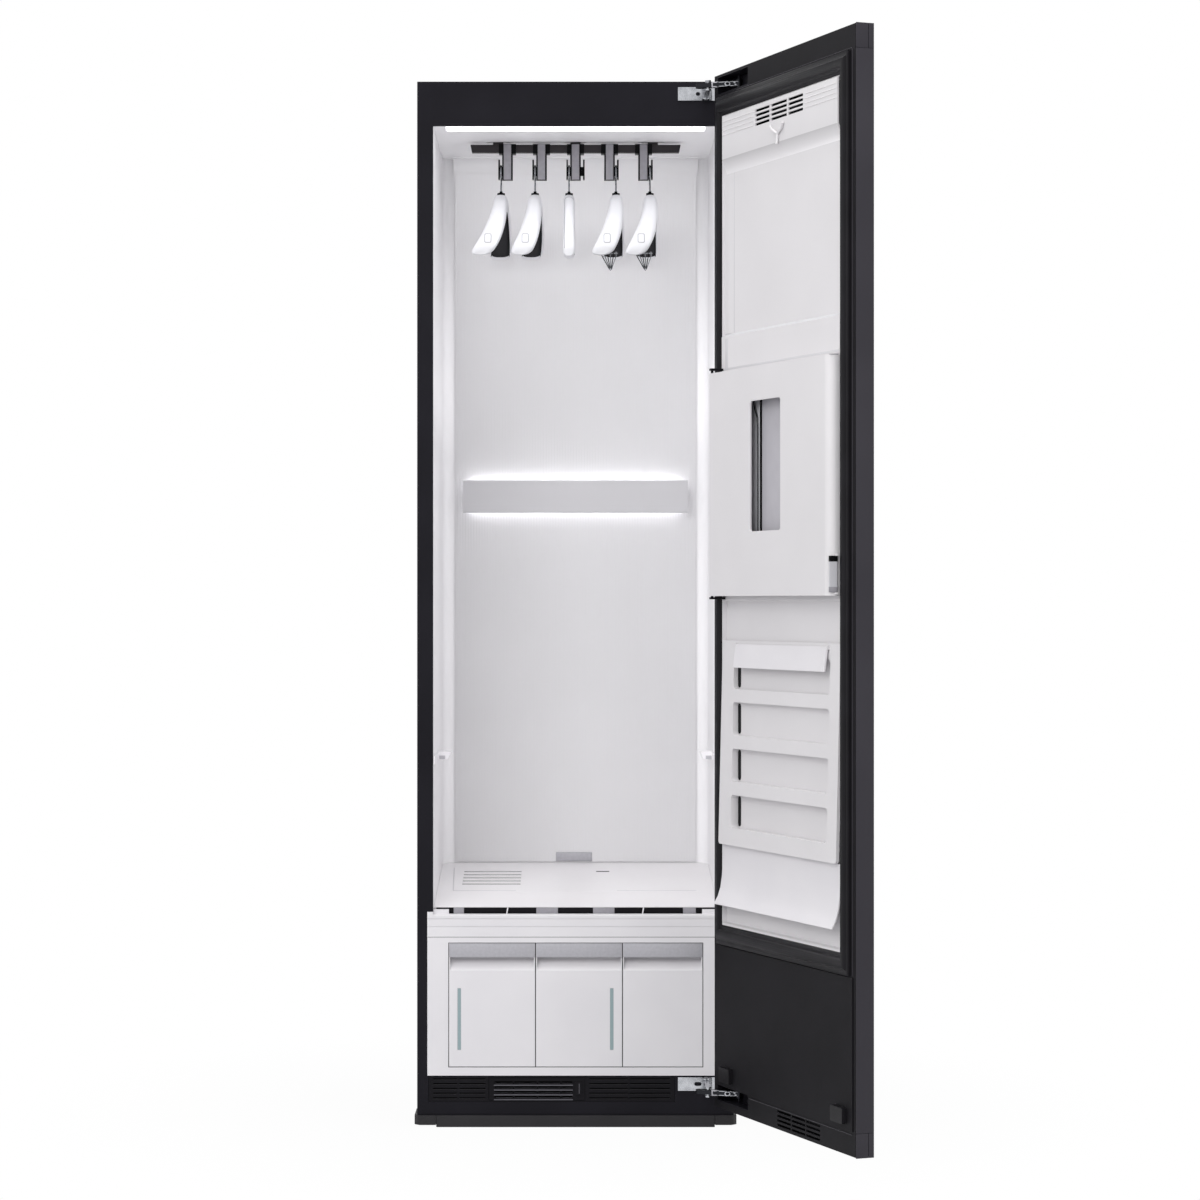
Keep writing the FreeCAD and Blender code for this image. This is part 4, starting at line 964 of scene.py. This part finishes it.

# liner: lines beside the vents, the forked hook, the border down the hinge side, dark strips of painted shade by
# the rack
linerSet = {
    "lines": [(60.5, 198.0), (416.0, 545.0)], "firstLine": 1838.5, "pitch": 8.2, "rows": 4, "bandH": 10.0,
    # u, h, z along each arm and the stem
    "hook": [
        [(284, 17, 1826), (290, 15, 1818), (306, 12.5, 1809)],
        [(331, 13.5, 1826), (326, 13, 1818), (308, 12.5, 1809)],
        [(307, 12.5, 1811), (307, 12.5, 1800), (307, 14, 1791)],
    ],
    # the raised border, its edge line of painted shade, the strap over the press and a painted shadow line at the
    # band's foot
    "border": [(47.6, 0.1), (60.0, 2.2), (86.0, 0.05), (86.0, -0.4), (47.6, -0.4)],
    "borderZ": (1476.0, 1767.0), "borderLine": ((90.0, 93.0), (-0.3, 0.15)),
    "strap": ((65.0, 77.0), (5.8, 6.6), (1409.0, 1466.0)),
    "foot": ((60.5, 544.0), (5.8, 6.15), (1408.4, 1412.4)),
    "slotU": (101.5, 113.0), "slotH": (-4.3, -3.2), "slotTop": 883.5, "slotPitch": 84.3, "slots": 4,
    "slotHigh": 55.0,
}


def makeLinerDetails():
    bm = bmesh.new()
    h = linerSet["bandH"]
    for u0, u1 in linerSet["lines"]:
        for row in range(linerSet["rows"]):
            z = linerSet["firstLine"] + row * linerSet["pitch"]
            addTube(bm, [(u0, h - 0.1, z), (u1, h - 0.1, z)], 1.0, 8)
    for points in linerSet["hook"]:
        addTube(bm, points, 2.6, 10)
    addPlate(bm, linerSet["border"], *linerSet["borderZ"], "Z")
    # a greyer strip as the border's edge line: painted shade
    addBlock(bm, *linerSet["borderLine"], linerSet["borderZ"], 0.1, slot=1)
    addBlock(bm, *linerSet["strap"], 0.3, slot=1)
    # a greyer strip at the band's foot: painted shadow
    addBlock(bm, *linerSet["foot"], 0.1, slot=1)
    finishPiece("liner_hook_and_lines", bm, [doorWhite, coverWhiteAndShade], "door", onDoor=True)
    # dark strips in the gaps beside the rack's windows: painted shade
    bm = bmesh.new()
    u0, u1 = linerSet["slotU"]
    middle, half = (u0 + u1) / 2, (u1 - u0) / 2
    for i in range(linerSet["slots"]):
        top = linerSet["slotTop"] - i * linerSet["slotPitch"]
        outline = slotOutline(middle, top - linerSet["slotHigh"], top, half)
        addPlate(bm, outline, *linerSet["slotH"], "Y")
    finishPiece("rack_side_slots", bm, [grainedAbs], "door", onDoor=True)


makeLinerDetails()

# what shows in the press window: a black strip down the board, a white patch of painted light beside it, a black
# and a bright wire
pressSet = {
    "strip": (225.5, 232.5), "z": (1003.0, 1395.0), "face": 8.0, "paintedLightPatch": (150.0, 225.0),
    "wire": [
        (190, 1380), (194, 1352), (203, 1330), (213, 1314),
        (216, 1296), (216.5, 1200), (216.5, 1080), (216, 1020),
    ],
    "lipU": 548.3, "lipH": (10.0, 27.0), "lipZ": 1402.9,
    # the latch's own box, then the heights of its black tip, which is painted shade of the recess round the latch,
    # and of its darker foot
    "latchU": (549.2, 552.2), "latchH": (13.0, 28.0), "tip": (1052.5, 1062.4), "foot": (1000.6, 1010.0),
}


def makePressDetails():
    bm = bmesh.new()
    face = pressSet["face"]
    addBlock(bm, pressSet["strip"], (face, face + 1.6), pressSet["z"], 0.5)
    # a white patch on the board left of the strip: painted light where the cover's shade falls
    addBlock(bm, pressSet["paintedLightPatch"], (face - 0.4, face + 0.5), pressSet["z"], 0.2, slot=2)
    addTube(bm, [(u, face + 1.4, z) for u, z in pressSet["wire"]], 0.9, 8)
    addTube(bm, [(u + 4.5, face + 1.2, z) for u, z in pressSet["wire"]], 0.8, 8, slot=1)
    materials = [polishedAbs, chromeWire, hangerWhite]
    finishPiece("press_strip_and_wire", bm, materials, "door", onDoor=True)
    # a grey line down the top edge of the lip's side: painted shadow
    bm = bmesh.new()
    u, z = pressSet["lipU"], pressSet["lipZ"]
    addTube(bm, [(u, h, z) for h in pressSet["lipH"]], 0.55, 8)
    finishPiece("press_lip_line", bm, [greyAbs], "press_door", onDoor=True)
    bm = bmesh.new()
    (ua, ub), (ha, hb) = pressSet["latchU"], pressSet["latchH"]
    # the black tip: painted shade
    addBlock(bm, (ua - 0.35, ub + 0.35), (ha - 0.35, hb + 0.35), pressSet["tip"], 0.5)
    addBlock(bm, (ua - 0.25, ub + 0.25), (ha - 0.25, hb + 0.25), pressSet["foot"], 0.5, slot=1)
    materials = [polishedAbs, greyAbs]
    finishPiece("press_latch_tip", bm, materials, "press_catch", onDoor=True)


makePressDetails()
print("door finished")

# hangers: moulded shells that run front to back, hollow underneath, with a wire hook through a collar
hangerSet = {
    # along the arm: distance from the neck, top, underside, half thickness
    "shoulder": [
        (0.0, 1774.0, 1740.0, 12.6), (45.0, 1770.5, 1733.5, 13.2), (90.0, 1754.0, 1715.0, 15.0),
        (130.0, 1727.0, 1685.0, 18.0), (160.0, 1698.5, 1661.5, 20.4), (182.0, 1671.5, 1650.5, 20.8),
    ],
    "railY": -60.0, "collarTop": 1777.0, "hookMiddle": 1812.0, "hookRadius": 19.0, "wire": 1.7,
    "sweepDrop": 133.0, "sweepPower": 2.59, "sides": 36,
    "stations": [*range(0, 151, 10), 158, 165, 171, 175, 178, 180.4, 182],
    # the section, from 1, an ellipse, to 0, a box; the rounded ends: start, length, how far they draw in
    "boxy": 0.7, "end": (175, 7, 0.6),
    # the hollow underneath: start, ramp, end, ramp, width and depth as shares; its soft pad: ends, angles
    "hollow": (32, 20, 177, 3, 0.86, 0.55), "pad": (36, 176), "padAngles": (212, 328),
    # embossed frame: height, half width, half height, corner; the straight hanger's line: foot, arch, radii
    "frame": (1672.0, 6.0, 8.8, 2.4), "line": (1652, 1756, (8.2, 7)),
    # clip: its wires' distances in front of the neck, heights of its foot, its bar and the wires' tops
    "clip": (168, 170, 1613.5, 1643, (1646, 1638)),
    # neck x, sweep of the front arm and of the rear arm, lean, straight half thickness, has clips
    "hangers": [
        (-144.5, 33.4, 11.7, 4.5, None, False),
        (-78.5, 25.0, 19.7, 4.5, None, False),
        (-12.5, 0.0, 0.0, 5.4, 11.5, False),
        (78.5, 29.0, 7.4, 4.5, None, True),
        (144.5, 32.0, 6.3, 4.5, None, True),
    ],
}


def shoulderAt(away):
    # a smooth curve through the shoulder table
    table = hangerSet["shoulder"]
    i = max(k for k in range(len(table) - 1) if table[k][0] <= away + 1e-9)
    a, b = table[i], table[i + 1]
    before = table[i - 1] if i else (-b[0], *b[1:])
    after = table[i + 2] if i + 2 < len(table) else b
    t = (away - a[0]) / (b[0] - a[0])
    values = []
    for k in (1, 2, 3):
        slopeA = (b[k] - before[k]) / (b[0] - before[0]) * (b[0] - a[0])
        slopeB = (after[k] - a[k]) / (after[0] - a[0]) * (b[0] - a[0])
        values.append(
            (2 * t**3 - 3 * t**2 + 1) * a[k] + (t**3 - 2 * t**2 + t) * slopeA
            + (3 * t**2 - 2 * t**3) * b[k] + (t**3 - t**2) * slopeB
        )
    return values


def sweepAt(y, z, front, rear):
    # how far the hanger is carried towards -X, by its height and by which arm it is
    share = min(max((y - hangerSet["railY"] + 60) / 120, 0), 1)
    drop = max(hangerSet["collarTop"] - z, 0) / hangerSet["sweepDrop"]
    return (front + (rear - front) * share) * drop ** hangerSet["sweepPower"]


def hangerBody(x, front, rear, lean, straight):
    bm = bmesh.new()
    y0, sides = hangerSet["railY"], hangerSet["sides"]
    tilt, boxy = math.radians(lean), hangerSet["boxy"]
    stations = [-s for s in hangerSet["stations"][:0:-1]] + hangerSet["stations"]
    endFrom, endLong, draw = hangerSet["end"]
    hollowFrom, rampIn, hollowTo, rampOut, wide, deep = hangerSet["hollow"]
    rings = []
    for s in stations:
        away = abs(s)
        top, under, half = shoulderAt(away)
        half = straight or half
        squeeze = math.sqrt(1 - draw * max(0.0, (away - endFrom) / endLong) ** 2)
        middle, tall = (top + under) / 2, (top - under) / 2 * squeeze
        hollow = min(max((away - hollowFrom) / rampIn, 0), 1) * min(max((hollowTo - away) / rampOut, 0), 1)
        ring = []
        for k in range(sides):
            a = 2 * math.pi * k / sides
            cx = math.copysign(abs(math.cos(a)) ** boxy, math.cos(a))
            cz = math.copysign(abs(math.sin(a)) ** boxy, math.sin(a))
            if cz < 0 and abs(cx) < wide:
                cz += deep * hollow
            px, py, pz = half * squeeze * cx, s, middle + tall * cz - hangerSet["collarTop"]
            py, pz = py * math.cos(tilt) - pz * math.sin(tilt), py * math.sin(tilt) + pz * math.cos(tilt)
            py, pz = py + y0, pz + hangerSet["collarTop"]
            ring.append(bm.verts.new((x + px - sweepAt(py, pz, front, rear), py, pz)))
        rings.append(ring)
    (padFrom, padTo), (low, high) = hangerSet["pad"], hangerSet["padAngles"]
    for i, (a, b) in enumerate(zip(rings, rings[1:])):
        away = abs(stations[i] + stations[i + 1]) / 2
        for k in range(sides):
            face = bm.faces.new((a[k], a[(k + 1) % sides], b[(k + 1) % sides], b[k]))
            if padFrom < away < padTo and low < 360 * (k + 0.5) / sides < high:
                face.material_index = 1
    bm.faces.new(rings[0][::-1])
    bm.faces.new(rings[-1])
    bmesh.ops.recalc_face_normals(bm, faces=bm.faces)
    return bm


def makeHanger(number, x, front, rear, lean, straight, clips):
    y0, collar = hangerSet["railY"], hangerSet["collarTop"]
    name = f"hanger_{number}"
    bm = hangerBody(x, front, rear, lean, straight)
    low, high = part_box(name)
    reach = [vert.co.y for vert in bm.verts]
    shift = (low.y + high.y) * 500 - (min(reach) + max(reach)) / 2
    bmesh.ops.translate(bm, verts=bm.verts, vec=(0, shift, 0))
    tree = BVHTree.FromBMesh(bm)

    def onFront(px, pz, lift):
        hit, normal, _, _ = tree.ray_cast(Vector((px, -900, pz)), Vector((0, 1, 0)))
        return hit + normal * lift

    if straight:
        # a moulded line follows the edge of the straight hanger and arches over at its top
        foot, arch, radii = hangerSet["line"]
        line = [(x - radii[0], foot + i * 9) for i in range(12)]
        line += arcPoints((x, arch), radii, range(165, -1, -15))
        addTube(bm, [onFront(px, pz, 0.1) for px, pz in line], 0.7, 8, slot=4)
    else:
        middleZ, halfX, halfZ, corner = hangerSet["frame"]
        middleX = x - sweepAt(y0 - 180, middleZ, front, rear) - 3
        ring = []
        for cx, cz, first in ((1, 1, 0), (-1, 1, 90), (-1, -1, 180), (1, -1, 270)):
            middle = (middleX + cx * (halfX - corner), middleZ + cz * (halfZ - corner))
            bend = arcPoints(middle, (corner, corner), range(first, first + 91, 30))
            ring += [onFront(px, pz, 0.1) for px, pz in bend]
        addTube(bm, ring, 0.8, 8, slot=4, closed=True)
    addTube(bm, [(x, y0, collar - 5), (x, y0, collar - 3.4), (x, y0, collar + 0.6)], 7.4, 20, slot=2)
    addTube(bm, [(x, y0, collar + 0.4), (x, y0, collar + 4)], 3.0, 14, slot=2)
    centre, radius = hangerSet["hookMiddle"], hangerSet["hookRadius"]
    route = [(y0, collar), (y0, centre - radius - 4), (y0, centre - radius)]
    route += arcPoints((y0, centre), (radius, radius), range(-35, 201, 9))
    addTube(bm, [(x, py, pz) for py, pz in route], hangerSet["wire"], 12, slot=3)
    if clips:
        # a fan of thin wires gathers towards the clip's foot
        near, far, foot, bar, tops = hangerSet["clip"]
        near, far = y0 - near, y0 - far
        for k in range(6):
            top = x - 29 + k * 5.4
            wire = [(top, near, tops[0]), (top + 0.4, far, tops[1]), (x - 15 + k, far, foot)]
            addTube(bm, wire, 0.9, 6, slot=3 if k % 2 else 2)
        addTube(bm, [(x - 31, near, bar), (x + 1, near, bar)], 1.2, 8, slot=3)
        addTube(bm, [(x - 15, far, foot), (x - 12.5, far, foot - 3), (x - 10, far, foot)], 1.0, 8, slot=3)
    materials = [hangerWhite, hangerPad, polishedAbs, chromeWire, satinSilver]
    finishPiece(name + "_moulded", bm, materials, name, [name], smooth=40)


for number, values in enumerate(hangerSet["hangers"], 1):
    makeHanger(number, *values)
print("hangers finished")

# hinges: washers on the plates' axles; a block, ring, rivets and bright edges on the dark links
hingeSet = {
    "levels": [80.5, 1936.5], "pivot": (243.7, -292.9), "axle": 12.5,
    # block: x, half width, half height; ring: x, radius, wire; rivets: x, height; edges: x from, to, height
    "block": (257.0, 6.8, 5.2), "ring": (279.5, 4.4, 1.5), "rivets": [(292.0, 2.2), (294.0, -2.4)],
    "edges": (264.0, 299.0, 3.7),
}


def makeHingeDetails():
    bm = bmesh.new()
    x, y = hingeSet["pivot"]
    for level in hingeSet["levels"]:
        for side in (-1, 1):
            z = level + side * hingeSet["axle"]
            addTube(bm, [(x, y, z), (x, y, z + side * 1.2)], 4.4, 18)
            addTube(bm, [(x, y, z + side * 1.0), (x, y, z + side * 2.0)], 2.6, 14)
    finishPiece("hinge_rivets", bm, [chromeWire], "cabinet")
    source = bmesh.new()
    source.from_mesh(nodes["hinge_links"].data)
    tree = BVHTree.FromBMesh(source)
    source.free()

    def frontOf(px, pz):
        return tree.ray_cast(Vector((px, -900, pz)) * mm, Vector((0, 1, 0)))[0].y * 1000

    bm = bmesh.new()
    for level in hingeSet["levels"]:
        px, halfX, halfZ = hingeSet["block"]
        y = frontOf(px, level)
        addBlock(bm, (px - halfX, px + halfX), (y - 1.2, y + 0.8), (level - halfZ, level + halfZ), 0.7)
        # a dark inset in the block
        x, z = (px - halfX + 2.4, px + halfX - 2.4), (level - halfZ + 2.2, level + halfZ - 2.2)
        addBlock(bm, x, (y - 1.4, y + 0.6), z, 0.2, slot=2)
        *ends, up = hingeSet["edges"]
        for z in (level - up, level + up):
            addTube(bm, [(px, frontOf(px, z) + 0.1, z) for px in ends], 0.8, 8, slot=1)
        px, radius, wire = hingeSet["ring"]
        y = frontOf(px, level) - 0.6
        ring = arcPoints((px, level), (radius, radius * 0.8), range(0, 360, 18))
        addTube(bm, [(rx, y, rz) for rx, rz in ring], wire, 8, slot=1, closed=True)
        for px, up in hingeSet["rivets"]:
            y = frontOf(px, level + up)
            addTube(bm, [(px, y - 1.0, level + up), (px, y + 0.6, level + up)], 1.8, 12, slot=1)
    materials = [satinSilver, platedSteel, phosphatedSteel]
    finishPiece("hinge_link_details", bm, materials, "hinge_link")


makeHingeDetails()
print("hinges finished")

makeCavityLamps()
